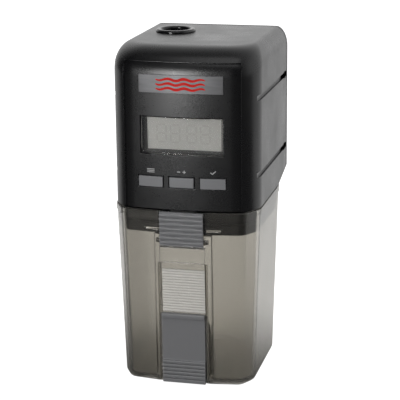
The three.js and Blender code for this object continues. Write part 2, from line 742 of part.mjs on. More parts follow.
// A spur gear's plan with involute flanks, thinned by the backlash.
function gearPlan(teeth, phase, centre) {
  const pitch = GEAR_MODULE * teeth / 2;
  const base = pitch * Math.cos(PRESSURE_ANGLE);
  const involute = (angle) => Math.tan(angle) - angle;
  const halfAngle = (radius) => {
    const pressure = Math.acos(Math.min(1, base / radius));
    const thinned = Math.PI / 2 / teeth - BACKLASH / 2 / pitch;
    return thinned + involute(PRESSURE_ANGLE) - involute(pressure);
  };
  const radii = [pitch - 1.2 * GEAR_MODULE, pitch, pitch + 0.95 * GEAR_MODULE];
  const flank = radii.map((radius) => [radius, halfAngle(radius)]);
  const tooth = [...flank.map(([radius, half]) => [radius, -half]), ...flank.toReversed()];
  return Array.from({ length: teeth }, (_, i) => {
    const middle = phase + 2 * Math.PI * i / teeth;
    return tooth.map(([radius, half]) => new THREE.Vector2(
      centre.x + radius * Math.cos(middle + half),
      centre.y + radius * Math.sin(middle + half),
    ));
  }).flat();
}

function gear(teeth, phase, centre, z) {
  return prism(gearPlan(teeth, phase, centre), z);
}

function outputGear() {
  const z = [LAYER_1, LAYER_1 + FACE_WIDTH];
  return cut(solid(gear(OUTPUT_TEETH, 0, OUTPUT_AXIS, z)),
    rodZ(SHAFT_RADIUS + 0.25, 0, 0, [z[0] - 1, z[1] + 1], 20));
}

// A wheel with a pinion below it, in mesh with the gear before.
function compoundGear(axis, phase, pinionBottom, wheelBottom) {
  const top = wheelBottom + FACE_WIDTH - 0.4;
  return cut(
    join(
      gear(PINION_TEETH, phase, axis, [pinionBottom, wheelBottom + 0.5]),
      gear(WHEEL_TEETH, 0, axis, [wheelBottom, top]),
    ),
    rodZ(GEAR_BORE_RADIUS, axis.x, axis.y, [pinionBottom - 1, top + 1], 16),
  );
}

function motorPinion() {
  const z = [LAYER_3 - 0.3, LAYER_3 + FACE_WIDTH];
  const phase = meshPhase(WHEEL_TEETH, THIRD_DIRECTION);
  return join(
    gear(PINION_TEETH, phase, MOTOR_AXIS, z),
    rodZ(0.9, MOTOR_AXIS.x, MOTOR_AXIS.y, [z[1] - 1, GEARBOX_TOP + 5], 12),
  );
}

function gearboxBase() {
  const x = [-30.4, 20.6];
  const plate = cut(
    solid(block(x, [-16.6, 16.6], [GEARBOX_BASE, GEARBOX_BASE + 1.2])),
    rodZ(7.4, 0, 0, [GEARBOX_BASE - 1, GEARBOX_BASE + 2]),
    rodZ(GEAR_PIN_RADIUS + 0.1, FIRST_AXIS.x, FIRST_AXIS.y, [GEARBOX_BASE - 1, GEARBOX_BASE + 2], 16),
  );
  const posts = POSTS.map(([px, py]) => {
    return rodZ(2, px, py, [GEARBOX_BASE + 0.5, GEARBOX_TOP - GAP], 16);
  });
  const holes = POSTS.map(([px, py]) => rodZ(0.9, px, py, [GEARBOX_TOP - 6, GEARBOX_TOP + 1], 10));
  return cut(plate.add(join(...posts)), ...holes);
}

function gearboxCover() {
  const z = [GEARBOX_TOP, GEARBOX_TOP + 1.2];
  const through = [z[0] - 1, z[1] + 1];
  return cut(
    solid(block([-30.4, 20.6], [-16.6, 16.6], z)),
    rodZ(1.5, MOTOR_AXIS.x, MOTOR_AXIS.y, through, 16),
    rodZ(GEAR_PIN_RADIUS + 0.1, FIRST_AXIS.x, FIRST_AXIS.y, through, 16),
    rodZ(GEAR_PIN_RADIUS + 0.1, SECOND_AXIS.x, SECOND_AXIS.y, through, 16),
    ...POSTS.map(([px, py]) => rodZ(1, px, py, through, 10)),
  );
}

function gearPin(axis, bottom) {
  return solid(rodZ(GEAR_PIN_RADIUS, axis.x, axis.y, [bottom, GEARBOX_TOP + 1.2], 14));
}

function gearboxScrew([x, y]) {
  const head = GEARBOX_TOP + 1.3;
  return cut(
    join(
      rodZ(1.8, x, y, [head, head + 1.2], 16),
      rodZ(0.7, x, y, [GEARBOX_TOP - 5, head + 0.5], 10),
    ),
    block(around(x, 2.2), around(y, 0.5), [head + 0.7, head + 2]),
    block(around(x, 0.5), around(y, 2.2), [head + 0.7, head + 2]),
  );
}

// A small direct-current motor: a can with two flats and a boss at its back.
function driveMotor() {
  const z = [GEARBOX_TOP + 1.5, GEARBOX_TOP + 24];
  const can = solid(rodZ(10, MOTOR_AXIS.x, MOTOR_AXIS.y, z, 32));
  const flats = solid(block(around(MOTOR_AXIS.x, 21), around(MOTOR_AXIS.y, 15), z));
  return cut(
    can.intersect(flats).add(solid(rodZ(3, MOTOR_AXIS.x, MOTOR_AXIS.y, [z[1] - 1, z[1] + 2], 16))),
    rodZ(1.2, MOTOR_AXIS.x, MOTOR_AXIS.y, [z[0] - 1, z[0] + 6], 12),
  );
}

// ---- Drum ----

// The driven hub: a lid over the drum with a collar that fits inside the drum's wall.
function driveHub() {
  const fit = DRUM_WALL + 0.35;
  const seal = [SEAL_BOTTOM, SEAL_BOTTOM + SEAL_HEIGHT];
  const band = cut(solid(draftedBody(0, seal)), draftedBody(fit + SEAL_DEPTH, [60, 90]));
  const cup = cut(
    solid(draftedBody(fit, [HUB_BOTTOM, HUB_TOP])),
    draftedBody(fit + HUB_WALL + 0.4, [HUB_BOTTOM - 1, HUB_TOP - 1.5]),
  );
  const hookWay = inTrack(block(around(0, 2 * HOOK_SIDE + 1.2), [0, 3.5], [HUB_BOTTOM - 2, 90]));
  const slots = [-1, 1].map((side) => {
    return block(around(side * SNAP_X, SNAP_LENGTH), [-DRUM_FRONT, -DRUM_FRONT + 9], SNAP_LEVEL);
  });
  const shaft = rodZ(SHAFT_RADIUS, 0, 0, [HUB_TOP - 1, SHAFT_TOP], 24);
  const clipRoom = around(CLIP_BOTTOM + CLIP_THICKNESS / 2, CLIP_THICKNESS + 0.2);
  const clipGroove = cut(solid(rodZ(5, 0, 0, clipRoom, 20)),
    rodZ(3.3, 0, 0, [LAYER_1, LAYER_3], 20));
  return cut(cup.subtract(band), hookWay, ...slots)
    .add(solid(shaft))
    .subtract(clipGroove);
}

function drumSeal() {
  const depth = DRUM_WALL + 0.15;
  const z = [SEAL_BOTTOM + 0.1, SEAL_BOTTOM + SEAL_HEIGHT - 0.1];
  const ring = cut(
    solid(draftedBody(depth, z)),
    draftedBody(DRUM_WALL + 0.35 + SEAL_DEPTH - 0.15, [60, 90]),
    inTrack(block(around(0, 2 * HOOK_SIDE + 1.8), [0, 8], [60, 90])),
  );
  return ring;
}

// The spring clip that holds the output gear on the shaft.
function retainingClip() {
  const z = [CLIP_BOTTOM, CLIP_BOTTOM + CLIP_THICKNESS];
  return cut(solid(rodZ(5.6, 0, 0, z, 24)), rodZ(3.6, 0, 0, [z[0] - 1, z[1] + 1], 20),
    block([-3, 3], [0, 8], [z[0] - 1, z[1] + 1]));
}

// A geometry moved from the track's leaning frame to the part's own.
function inTrack(geometry) {
  return geometry.rotateX(DRAFT).translate(0, TRACK_Y, 0);
}

function drumOutside() {
  const steps = 3;
  const rounding = Array.from({ length: steps }, (_, i) => {
    const angle = Math.PI / 2 * i / steps;
    const z = DRUM_BASE_RADIUS * (1 - Math.cos(angle));
    const curl = DRUM_BASE_RADIUS * (1 - Math.sin(angle));
    return { plan: drumPlan(draftAt(z) + curl), z };
  });
  const straight = [DRUM_BASE_RADIUS, DRUM_TOP].map((z) => ({ plan: drumPlan(draftAt(z)), z }));
  return loft([...rounding, ...straight]);
}

// The smoke-coloured container, with a boss inside its front wall for the track.
function foodDrum() {
  const outside = solid(drumOutside());
  const flange = loft([DRUM_TOP - DRUM_FLANGE, DRUM_TOP].map((z) => {
    return { plan: drumPlan(-FLANGE_STANDS_OUT), z };
  }));
  const shell = cut(outside.add(solid(flange)), draftedBody(DRUM_WALL, [DRUM_FLOOR, 90]));
  const boss = inTrack(block(around(0, 2 * TRACK_BOSS_SIDE), [-1, TRACK_BOSS_DEPTH],
    [1, TRACK_BOSS_TOP]));
  const ribPlaces = [-1, 1].map((side) => {
    const level = [SNAP_LEVEL[0] + GAP, SNAP_LEVEL[1] - GAP];
    return block(around(side * SNAP_X, SNAP_LENGTH - 1), [-DRUM_FRONT, -DRUM_FRONT + 9], level);
  });
  const ribs = cut(solid(draftedBody(DRUM_WALL - 0.5, [60, 82])),
    draftedBody(DRUM_WALL + SNAP_HEIGHT, [59, 83])).intersect(join(...ribPlaces));
  const width = around(0, 2 * TRACK_SIDE);
  const out = -BEYOND;
  return cut(
    shell.add(outside.intersect(solid(boss))).add(ribs),
    inTrack(block(width, [out, TRACK_DEPTH], [-3, TRACK_TOP])),
    inTrack(block(width, [out, TRACK_UPPER_DEPTH], [TRACK_TOP - 1, 90])),
    inTrack(block(width, [out, 3.3], [LATCH_BOTTOM - 1.2, LATCH_PIVOT_Z + 1.9])),
    inTrack(rodX(1.1, LATCH_PIVOT_Y, LATCH_PIVOT_Z, around(0, 2 * (TRACK_SIDE + 1.7)))),
    inTrack(block(around(0, 2 * TRACK_GROOVE_SIDE), [0.8, 2], [-3, TRACK_TOP])),
    inTrack(block(around(0, 2 * OUTLET_SIDE), [out, 8], [OUTLET_BOTTOM, OUTLET_TOP])),
    inTrack(block(around(0, 2 * HOOK_SIDE + 1.2), [out, 3.6], [81.2, 90])),
  );
}

// The pieces below stand in the track's own leaning frame.

// The white plate behind the slide, finely ribbed from side to side.
function dosingScale() {
  const pitch = (SCALE_TOP - SCALE_BOTTOM) / SCALE_RIBS;
  const teeth = Array.from({ length: SCALE_RIBS }, (_, i) => {
    const z = SCALE_BOTTOM + i * pitch;
    return [[2.35, z], [2, z + pitch / 2]];
  }).flat();
  const profile = [[3.1, SCALE_BOTTOM], [3.1, SCALE_TOP], [2.35, SCALE_TOP], ...teeth.reverse()];
  return solid(beam(profile, around(0, 2 * TRACK_SIDE - 2 * GAP)));
}

// The grey slide that covers the outlet: a lip above, grip ribs and a foot below.
function dosingSlide() {
  const side = TRACK_SIDE - 0.35;
  const width = around(0, 2 * side);
  const ribs = Array.from({ length: GRIP_RIBS }, (_, i) => {
    const z = SLIDE_FOOT + 1.3 + i * GRIP_PITCH;
    return beam([[0.7, z - 0.7], [0.7, z + 0.7], [-0.5, z + 0.3], [-0.5, z - 0.3]],
      around(0, 2 * side - 1));
  });
  return join(
    block(width, [0.4, 1.7], [0.8, SLIDE_TOP - 0.5]),
    block(around(0, 2 * (TRACK_GROOVE_SIDE - 0.35)), [1.15, 1.7], [0.8, SLIDE_TOP - 0.5]),
    block(width, [-0.7, 1.5], [SLIDE_TOP - SLIDE_LIP, SLIDE_TOP]),
    block(width, [-0.7, 1.5], [0.5, SLIDE_FOOT]),
    ...ribs,
  );
}

// The latch flap turns on trunnions at its lower end, and its hook reaches over the hub's rim.
function latchFlap() {
  const pitch = (LATCH_TOP - LATCH_BOTTOM - 1) / LATCH_RIBS;
  const ribs = Array.from({ length: LATCH_RIBS }, (_, i) => {
    const z = LATCH_BOTTOM + 0.5 + (i + 0.5) * pitch;
    return beam([[0, z - 0.85], [0, z + 0.85], [-0.8, z + 0.3], [-0.8, z - 0.3]],
      around(0, 2 * LATCH_SIDE - 1));
  });
  return join(
    block(around(0, 2 * LATCH_SIDE), [-0.3, 0.5], [LATCH_BOTTOM, LATCH_TOP]),
    block(around(0, 2 * LATCH_SIDE), [0.2, LATCH_PIVOT_Y], around(LATCH_PIVOT_Z, 2.2)),
    rodX(1.2, LATCH_PIVOT_Y, LATCH_PIVOT_Z, around(0, 2 * LATCH_SIDE)),
    rodX(0.8, LATCH_PIVOT_Y, LATCH_PIVOT_Z, around(0, 2 * (TRACK_SIDE + 1.3))),
    block(around(0, 2 * HOOK_SIDE), [0.2, 2.9], [82, 83]),
    ...ribs,
  );
}

// The hood over the outlet: a sloping roof between two three-cornered cheeks. Its lower edge
// stands above the drum's floor, and the food comes in below it.
function dosingHood() {
  const low = 3;
  const wedge = [[HOOD_NEAR, low], [HOOD_FAR, low], [HOOD_FAR, HOOD_MOUTH], [HOOD_NEAR, HOOD_TOP]];
  const slope = (HOOD_TOP - HOOD_MOUTH) / (HOOD_FAR - HOOD_NEAR);
  const roof = HOOD_WALL * Math.hypot(1, slope);
  const reach = 2 * slope;
  const hollow = [
    [HOOD_NEAR - 2, low - 1],
    [HOOD_FAR + 2, low - 1],
    [HOOD_FAR + 2, HOOD_MOUTH - roof - reach],
    [HOOD_NEAR - 2, HOOD_TOP - roof + reach],
  ];
  return cut(solid(beam(wedge, around(0, 2 * HOOD_SIDE))),
    beam(hollow, around(0, 2 * (HOOD_SIDE - HOOD_WALL))));
}

// ---- Assembly ----

const feeder = new THREE.Group();
const track = new THREE.Group();
track.rotation.x = DRAFT;
track.position.y = TRACK_Y;
feeder.add(track);

function place(group, name, body, material) {
  const mesh = new THREE.Mesh(geometryOf(body), material);
  mesh.name = name;
  group.add(mesh);
}

place(feeder, 'front_housing', frontHousing(), black);
place(feeder, 'back_cover', backCover(), black);
place(feeder, 'deck_plate', deckPlate(), black);
place(feeder, 'battery_door', batteryDoor(), black);
BOSSES.forEach((spot, i) => place(feeder, `cover_screw_${i + 1}`, coverScrew(spot), steel));
place(feeder, 'badge_plate', badgePlate(), silver);
place(feeder, 'display_lens', displayLens(), clear);
place(feeder, 'display_frame', displayFrame(), innerBlack);
place(feeder, 'display_glass', displayGlass(), liquidCrystal);
place(feeder, 'circuit_board', circuitBoard(), green);
place(feeder, 'controller_chip', controllerChip(), innerBlack);
KEY_NAMES.forEach((name, i) => {
  place(feeder, `key_${name}`, key(i), grey);
  place(feeder, `switch_${name}`, keySwitch(i), innerBlack);
});

place(feeder, 'inlet_ring', inletRing(), innerBlack);
place(feeder, 'inlet_grille', inletGrille(), innerBlack);
place(feeder, 'fan_duct', fanDuct(), innerBlack);
place(feeder, 'fan_motor', fanMotor(), steel);
place(feeder, 'fan_impeller', fanImpeller(), innerBlack);

place(feeder, 'battery_tray', batteryTray(), innerBlack);
for (let i = 0; i < 4; i += 1) {
  place(feeder, `battery_cell_${i + 1}`, cell(i), cellLabel);
  place(feeder, `contact_spring_${i + 1}`, contactSpring(i), steel);
}
place(feeder, 'contact_plate_bottom_left', contactPlate(0, 0, BAY_BOTTOM + 1), steel);
place(feeder, 'contact_plate_bottom_middle', contactPlate(1, 2, BAY_BOTTOM + 1), steel);
place(feeder, 'contact_plate_bottom_right', contactPlate(3, 3, BAY_BOTTOM + 1), steel);
place(feeder, 'contact_plate_top_left', contactPlate(0, 1, BAY_TOP - 1.3), steel);
place(feeder, 'contact_plate_top_right', contactPlate(2, 3, BAY_TOP - 1.3), steel);

place(feeder, 'bearing_bush', bearingBush(), naturalNylon);
place(feeder, 'gearbox_base', gearboxBase(), white);
place(feeder, 'gearbox_cover', gearboxCover(), white);
place(feeder, 'gear_pin_1', gearPin(FIRST_AXIS, GEARBOX_BASE), steel);
place(feeder, 'gear_pin_2', gearPin(SECOND_AXIS, LAYER_2 - 0.6), steel);
POSTS.slice(2).forEach((spot, i) => {
  place(feeder, `gearbox_screw_${i + 1}`, gearboxScrew(spot), steel);
});
place(feeder, 'drive_motor', driveMotor(), steel);
place(feeder, 'motor_pinion', motorPinion(), brass);
place(feeder, 'compound_gear_2', compoundGear(SECOND_AXIS,
  meshPhase(WHEEL_TEETH, SECOND_DIRECTION), LAYER_2 + 0.1, LAYER_3), naturalNylon);
place(feeder, 'compound_gear_1', compoundGear(FIRST_AXIS,
  meshPhase(OUTPUT_TEETH, FIRST_DIRECTION), LAYER_1 - 0.2, LAYER_2), naturalNylon);

place(feeder, 'output_gear', outputGear(), naturalNylon);
place(feeder, 'retaining_clip', retainingClip(), steel);
place(feeder, 'drive_hub', driveHub(), innerBlack);
place(feeder, 'drum_seal', drumSeal(), rubber);
place(feeder, 'food_drum', foodDrum(), smoke);
place(track, 'dosing_hood', dosingHood(), innerBlack);
place(track, 'dosing_scale', dosingScale(), white);
place(track, 'dosing_slide', dosingSlide(), grey);
place(track, 'latch_flap', latchFlap(), grey);

export default feeder;
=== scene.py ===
# Automatic fish feeder: a black motor housing with a display and three keys, and below it a
# smoke-tinted food drum with a latch, a ribbed scale and a dosing slide on its front.
#
# Sizes in this file are millimetres; MM turns them into metres where a mesh is made.
import json
import math

import bmesh
import bpy
from mathutils import Matrix, Vector
from mathutils.bvhtree import BVHTree
from mathutils.interpolate import poly_3d_calc

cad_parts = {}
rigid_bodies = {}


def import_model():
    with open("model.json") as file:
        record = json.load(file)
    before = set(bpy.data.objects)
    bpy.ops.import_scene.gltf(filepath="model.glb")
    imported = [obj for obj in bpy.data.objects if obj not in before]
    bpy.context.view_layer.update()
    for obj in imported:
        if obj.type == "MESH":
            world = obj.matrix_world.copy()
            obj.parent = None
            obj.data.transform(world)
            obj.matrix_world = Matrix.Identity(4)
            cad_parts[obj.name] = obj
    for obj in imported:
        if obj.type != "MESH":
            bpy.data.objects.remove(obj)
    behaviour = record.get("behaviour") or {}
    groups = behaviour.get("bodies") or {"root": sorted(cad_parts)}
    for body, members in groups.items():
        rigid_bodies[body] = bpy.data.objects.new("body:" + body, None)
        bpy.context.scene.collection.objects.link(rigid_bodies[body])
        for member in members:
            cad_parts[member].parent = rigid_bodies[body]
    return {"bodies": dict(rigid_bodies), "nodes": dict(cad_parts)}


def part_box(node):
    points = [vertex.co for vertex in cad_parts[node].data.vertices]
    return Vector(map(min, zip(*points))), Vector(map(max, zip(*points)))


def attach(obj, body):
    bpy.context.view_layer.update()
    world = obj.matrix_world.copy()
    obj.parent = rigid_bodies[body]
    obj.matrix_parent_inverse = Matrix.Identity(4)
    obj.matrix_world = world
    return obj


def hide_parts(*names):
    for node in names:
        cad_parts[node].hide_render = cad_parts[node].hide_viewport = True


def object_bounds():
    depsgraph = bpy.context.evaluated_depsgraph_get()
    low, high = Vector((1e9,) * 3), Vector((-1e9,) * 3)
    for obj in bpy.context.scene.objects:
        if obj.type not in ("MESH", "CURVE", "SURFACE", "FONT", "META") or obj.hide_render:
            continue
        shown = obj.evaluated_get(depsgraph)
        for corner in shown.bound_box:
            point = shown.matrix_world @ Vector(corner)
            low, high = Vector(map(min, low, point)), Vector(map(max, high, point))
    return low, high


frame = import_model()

MM = 0.001
CAD_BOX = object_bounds()


# ---- Camera, floor and light ----
# The feeder stands on a white sheet that glows as if lit from below, a painted light. Soft
# white light fills the room behind it. In front the room is dim, with a tall soft box low on
# the left and a faint one above.

def aim(thing, azimuth, elevation, distance, target, roll=0):
    """Stands a camera or lamp round the target and turns it to face it."""
    turn, rise = math.radians(azimuth), math.radians(elevation)
    back = Vector((math.sin(turn) * math.cos(rise), -math.cos(turn) * math.cos(rise),
                   math.sin(rise)))
    facing = (-back).to_track_quat("-Z", "Y").to_matrix().to_4x4()
    spot = Matrix.Translation((Vector(target) + back * distance) * MM)
    thing.matrix_world = spot @ facing @ Matrix.Rotation(math.radians(roll), 4, "Z")


def set_out(name, data):
    """A new object on a mesh, curve, lamp or camera, linked into the scene."""
    thing = bpy.data.objects.new(name, data)
    bpy.context.collection.objects.link(thing)
    return thing


def soft_box(name, azimuth, elevation, distance, size, power):
    lamp = bpy.data.lights.new(name, "AREA")
    lamp.shape = "RECTANGLE"
    lamp.size, lamp.size_y = (side * MM for side in size)
    lamp.energy = power
    aim(set_out(name, lamp), azimuth, elevation, distance, (0, 0, 80))


camera = set_out("camera", bpy.data.cameras.new("camera"))
camera.data.lens = 132.5
camera.data.sensor_width = 36
camera.data.shift_x = -0.0133
camera.data.shift_y = 0.0015
aim(camera, 13.64, 15.11, 699.7, (2.06, 3, 79.09), roll=-0.52)
bpy.context.scene.camera = camera
bpy.context.scene.view_settings.view_transform = "Standard"


def feed(tree, node, inputs):
    """Sets a node's inputs to values, or links them to other nodes' sockets."""
    for key, value in inputs.items():
        if isinstance(value, bpy.types.NodeSocket):
            tree.links.new(value, node.inputs[key])
        else:
            node.inputs[key].default_value = value


def add(tree, kind, inputs=None, **settings):
    """A new node with its settings and inputs."""
    node = tree.nodes.new(kind)
    for key, value in settings.items():
        setattr(node, key, value)
    feed(tree, node, inputs or {})
    return node


def maths(tree, operation, *values, **settings):
    return add(tree, "ShaderNodeMath", dict(enumerate(values)), operation=operation,
               **settings).outputs[0]


def spread(tree, value, start, end, low=0, high=1, curve="LINEAR"):
    """Spreads a value's range, from start to end, over the range from low to high."""
    return add(tree, "ShaderNodeMapRange", {
        "Value": value, "From Min": start, "From Max": end, "To Min": low, "To Max": high},
        interpolation_type=curve).outputs["Result"]


def noise(tree, place, scale, detail, **inputs):
    return add(tree, "ShaderNodeTexNoise", {
        "Vector": place, "Scale": scale, "Detail": detail, **inputs}).outputs["Fac"]


def blend(tree, share, first, second):
    return add(tree, "ShaderNodeMixRGB", {
        "Fac": share, "Color1": first, "Color2": second}).outputs["Color"]


def fresh_material(name):
    """A new material, with its node tree and its shader."""
    material = bpy.data.materials.new(name)
    material.use_nodes = True
    return material, material.node_tree, material.node_tree.nodes["Principled BSDF"]


def room_light():
    """A bright room behind, low down, falling off to a dim one in front and overhead. The
    camera itself sees it all white."""
    world = bpy.data.worlds.new("room")
    world.use_nodes = True
    tree = world.node_tree
    way = add(tree, "ShaderNodeTexCoord").outputs["Generated"]
    towards = add(tree, "ShaderNodeVectorMath", {0: way, 1: (0.45, 1, 0)},
                  operation="DOT_PRODUCT").outputs["Value"]
    height = add(tree, "ShaderNodeSeparateXYZ", {"Vector": way}).outputs["Z"]
    glow = maths(tree, "MULTIPLY", spread(tree, towards, -0.5, 0.5, 0.01, 1, "SMOOTHSTEP"),
                 spread(tree, height, 0.5, 0.98, 1, 0.5, "SMOOTHSTEP"))
    camera_ray = add(tree, "ShaderNodeLightPath").outputs["Is Camera Ray"]
    feed(tree, tree.nodes["Background"], {
        "Strength": maths(tree, "MAXIMUM", glow, camera_ray), "Color": (1, 1, 1, 1)})
    bpy.context.scene.world = world


room_light()
soft_box("key_box", -16.5, 9, 1200, (250, 520), 7.5)
soft_box("top_box", 10, 62, 1300, (1000, 800), 3)

# The sheet is carried by the drum, so that it stays under the drum when the drum is drawn off.
bpy.ops.object.select_all(action="DESELECT")
bpy.ops.mesh.primitive_plane_add(size=6, location=(0, 0, CAD_BOX[0].z - 0.05 * MM))
sheet = bpy.context.object
sheet.name = "studio_sheet"
bpy.ops.object.transform_apply()
paper, tree, paper_shader = fresh_material("studio_paper_painted_glow_and_shade")
place = add(tree, "ShaderNodeTexCoord").outputs["Object"]
fibre = spread(tree, noise(tree, place, 900, 3), 0, 1, 0.95, 1.05)
# The sheet's colour is painted dark in front of the feeder, a painted shade that the feeder's faces
# reflect, and behind the feeder the sheet glows, a painted light; to the camera it is all white.
behind = spread(tree, add(tree, "ShaderNodeSeparateXYZ", {"Vector": place}).outputs["Y"],
                -0.04, 0.1, curve="SMOOTHSTEP")
camera_ray = add(tree, "ShaderNodeLightPath").outputs["Is Camera Ray"]
feed(tree, paper_shader, {
    "Base Color": maths(tree, "MULTIPLY", spread(tree, behind, 0, 1, 0.12, 0.85), fibre),
    "Emission Strength": maths(tree, "MAXIMUM", maths(tree, "MULTIPLY", behind, 0.4), camera_ray),
    "Emission Color": (1, 1, 1, 1), "Roughness": 0.9, "Specular IOR Level": 0.1})
sheet.data.materials.append(paper)
sheet.parent = frame["bodies"]["drum"]


# ---- Front shell ----
# The main moulding: a deep box of black ABS with a bowed front, a rounded brow and a fine
# spark-eroded texture. It is moulded in one piece and open at the back and below.

def limits(node):
    """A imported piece's lowest and highest corners, in millimetres."""
    low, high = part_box(node)
    return low / MM, high / MM


def midpoint(node):
    """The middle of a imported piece's box: x, y and z, in millimetres."""
    return [sum(ends) / 2 for ends in zip(*limits(node))]


def loft(name, rings):
    """A closed body through rings of points, each with as many points, from the lowest up."""
    count = len(rings[0])
    corners = [Vector(point) * MM for ring in rings for point in ring]
    last = len(corners) - count
    faces = [list(range(count))[::-1], list(range(last, last + count))]
    for low in range(0, last, count):
        for i in range(count):
            after = (i + 1) % count
            faces.append([low + i, low + after, low + count + after, low + count + i])
    mesh = bpy.data.meshes.new(name)
    mesh.from_pydata(corners, [], faces)
    return set_out(name, mesh)


def only(piece):
    """Selects a piece alone and makes it the active one."""
    bpy.ops.object.select_all(action="DESELECT")
    piece.select_set(True)
    bpy.context.view_layer.objects.active = piece
    return piece


def open_whole(piece):
    """Opens a piece alone in edit mode, with all of it selected."""
    only(piece)
    bpy.ops.object.mode_set(mode="EDIT")
    bpy.ops.mesh.select_all(action="SELECT")


def outward(piece):
    """Turns all the faces of a closed piece outwards."""
    open_whole(piece)
    bpy.ops.mesh.normals_make_consistent(inside=False)
    bpy.ops.object.mode_set(mode="OBJECT")
    return piece


def block(name, x, y, z):
    """A cube primitive stretched between two values on each axis."""
    bpy.ops.object.select_all(action="DESELECT")
    bpy.ops.mesh.primitive_cube_add(size=1)
    piece = bpy.context.object
    piece.name = name
    piece.location = [sum(ends) / 2 * MM for ends in (x, y, z)]
    piece.scale = [(ends[1] - ends[0]) * MM for ends in (x, y, z)]
    bpy.ops.object.transform_apply()
    return piece


TURNS = {"X": (0, math.pi / 2, 0), "Y": (math.pi / 2, 0, 0), "Z": (0, 0, 0)}


def rod(name, axis, radius, centre, ends, sides=48):
    """A cylinder primitive along an axis, between two values on it."""
    bpy.ops.object.select_all(action="DESELECT")
    bpy.ops.mesh.primitive_cylinder_add(vertices=sides, radius=radius * MM,
                                        depth=(ends[1] - ends[0]) * MM, rotation=TURNS[axis])
    piece = bpy.context.object
    piece.name = name
    spot = list(centre)
    spot.insert("XYZ".index(axis), sum(ends) / 2)
    piece.location = Vector(spot) * MM
    bpy.ops.object.transform_apply()
    return piece


def around(middle, size):
    return middle - size / 2, middle + size / 2


def modify(piece, kind, **settings):
    """Puts a modifier on a piece and applies it."""
    tool = only(piece).modifiers.new(kind.lower(), kind)
    for key, value in settings.items():
        setattr(tool, key, value)
    bpy.ops.object.modifier_apply(modifier=tool.name)


def combine(piece, others, operation="DIFFERENCE"):
    """Cuts other solids away from a piece, or joins them to it, and deletes them."""
    for other in others:
        modify(piece, "BOOLEAN", operation=operation, object=other)
        bpy.data.objects.remove(other)
    return piece


def ease_edges(piece, width, segments=2, angle=35):
    """Rounds every edge sharper than the angle, keeps the piece inside the box that it had, and
    gives it clean, smooth shading."""
    open_whole(piece)
    bpy.ops.mesh.remove_doubles(threshold=0.02 * MM)
    bpy.ops.mesh.dissolve_limited(angle_limit=math.radians(0.4))
    bpy.ops.object.mode_set(mode="OBJECT")
    spots = [corner.co for corner in piece.data.vertices]
    ends = [(min(spot[k] for spot in spots), max(spot[k] for spot in spots)) for k in range(3)]
    modify(piece, "BEVEL", width=width * MM, segments=segments, limit_method="ANGLE",
           angle_limit=math.radians(angle), use_clamp_overlap=False)
    for corner in piece.data.vertices:
        corner.co = [min(max(c, low), high) for c, (low, high) in zip(corner.co, ends)]
    bpy.ops.object.shade_smooth_by_angle(angle=math.radians(50))
    modify(piece, "WEIGHTED_NORMAL", keep_sharp=True)
    return piece


def settle(piece, body, slot, material, *nodes):
    """Gives a finished piece its material and its body, and hides the nodes that it stands for. The
    slot is not used.
    """
    piece.data.materials.clear()
    piece.data.materials.append(material)
    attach(piece, body)
    if nodes:
        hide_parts(*nodes)


def arc(x, y, radius, start, end, steps):
    return [(x + radius * math.cos(start + (end - start) * i / steps),
             y + radius * math.sin(start + (end - start) * i / steps))
            for i in range(steps + 1)]


SHELL_LOW, SHELL_HIGH = limits("front_housing")
BACK_LOW, BACK_HIGH = limits("back_cover")
BOW_RADIUS = 150
BOW_CENTRE = SHELL_LOW.y + BOW_RADIUS
CORNER_RADIUS = 13.8
BROW_RADIUS = 13
SHOULDER = 5.6, 9.5
WALL = 2
PANEL_SIDE = 27
PANEL_TOP = 151.2
PANEL_DEPTH = 0.7
TAIL_START = 22
TAIL_RISE = 4.8
GROOVE_LEVELS = 99.7, 134.9
INLET = 0.5 * (limits("inlet_ring")[0] + limits("inlet_ring")[1])
DISPLAY_LOW, DISPLAY_HIGH = limits("display_lens")
GAP = 0.3
KEY_NAMES = "key_left", "key_middle", "key_right"
KEY_FLANGE = 0.9


def shell_outline(side, front, back, corner):
    """The plan of the housing: bowed front, round front corners, flat sides and back."""
    bow = BOW_CENTRE - front
    x = side - corner
    y = BOW_CENTRE - math.sqrt((bow - corner) ** 2 - x ** 2)
    lean = math.atan2(y - BOW_CENTRE, x)
    right = arc(0, BOW_CENTRE, bow, -math.pi / 2, lean, 9)
    right += arc(x, y, corner, lean, 0, 18)[1:]
    right.append((side, back))
    return right + [(-x, y) for x, y in reversed(right[1:])]


def drawn_in(height, radius):
    """How far a quarter round has drawn in, from 0 at its foot to 1 at its top."""
    up = min(max(height / radius, 0), 1)
    return 1 - math.sqrt(1 - up * up)


def shell_plan(inset, z, back):
    """The housing's outline at one height, with its faces moved inward except the back."""
    top = SHELL_HIGH.z - inset
    brow = BROW_RADIUS - inset
    width, height = SHOULDER[0] - inset / 2, SHOULDER[1] - inset
    front = SHELL_LOW.y + inset + brow * drawn_in(z - top + brow, brow)
    side = SHELL_HIGH.x - inset - width * drawn_in(z - top + height, height)
    return shell_outline(side, front, back, CORNER_RADIUS - inset)


def brow_heights(inset, steps=18):
    foot, brow = SHELL_HIGH.z - BROW_RADIUS, BROW_RADIUS - inset
    return [foot + brow * math.sin(math.pi / 2 * i / steps) for i in range(steps + 1)]


def shell_body(name, inset, bottom, back):
    """The housing's full body, with its faces moved inward except the back and the bottom."""
    return loft(name, [[(x, y, z) for x, y in shell_plan(inset, z, back)]
                       for z in (bottom, *brow_heights(inset))])


def panel_rows():
    """Rows of points over the sunk panel, which follows the bowed front."""
    rows = []
    for z in (SHELL_LOW.z - 2, *(h for h in brow_heights(0) if h < PANEL_TOP - 0.3), PANEL_TOP):
        plan = shell_plan(PANEL_DEPTH, z, BACK_LOW.y)
        right = [(x, y, z) for x, y in plan[:len(plan) // 2 + 1] if x < PANEL_SIDE and y < 0]
        rows.append([(-x, y, z) for x, y, z in reversed(right[1:])] + right)
    return rows


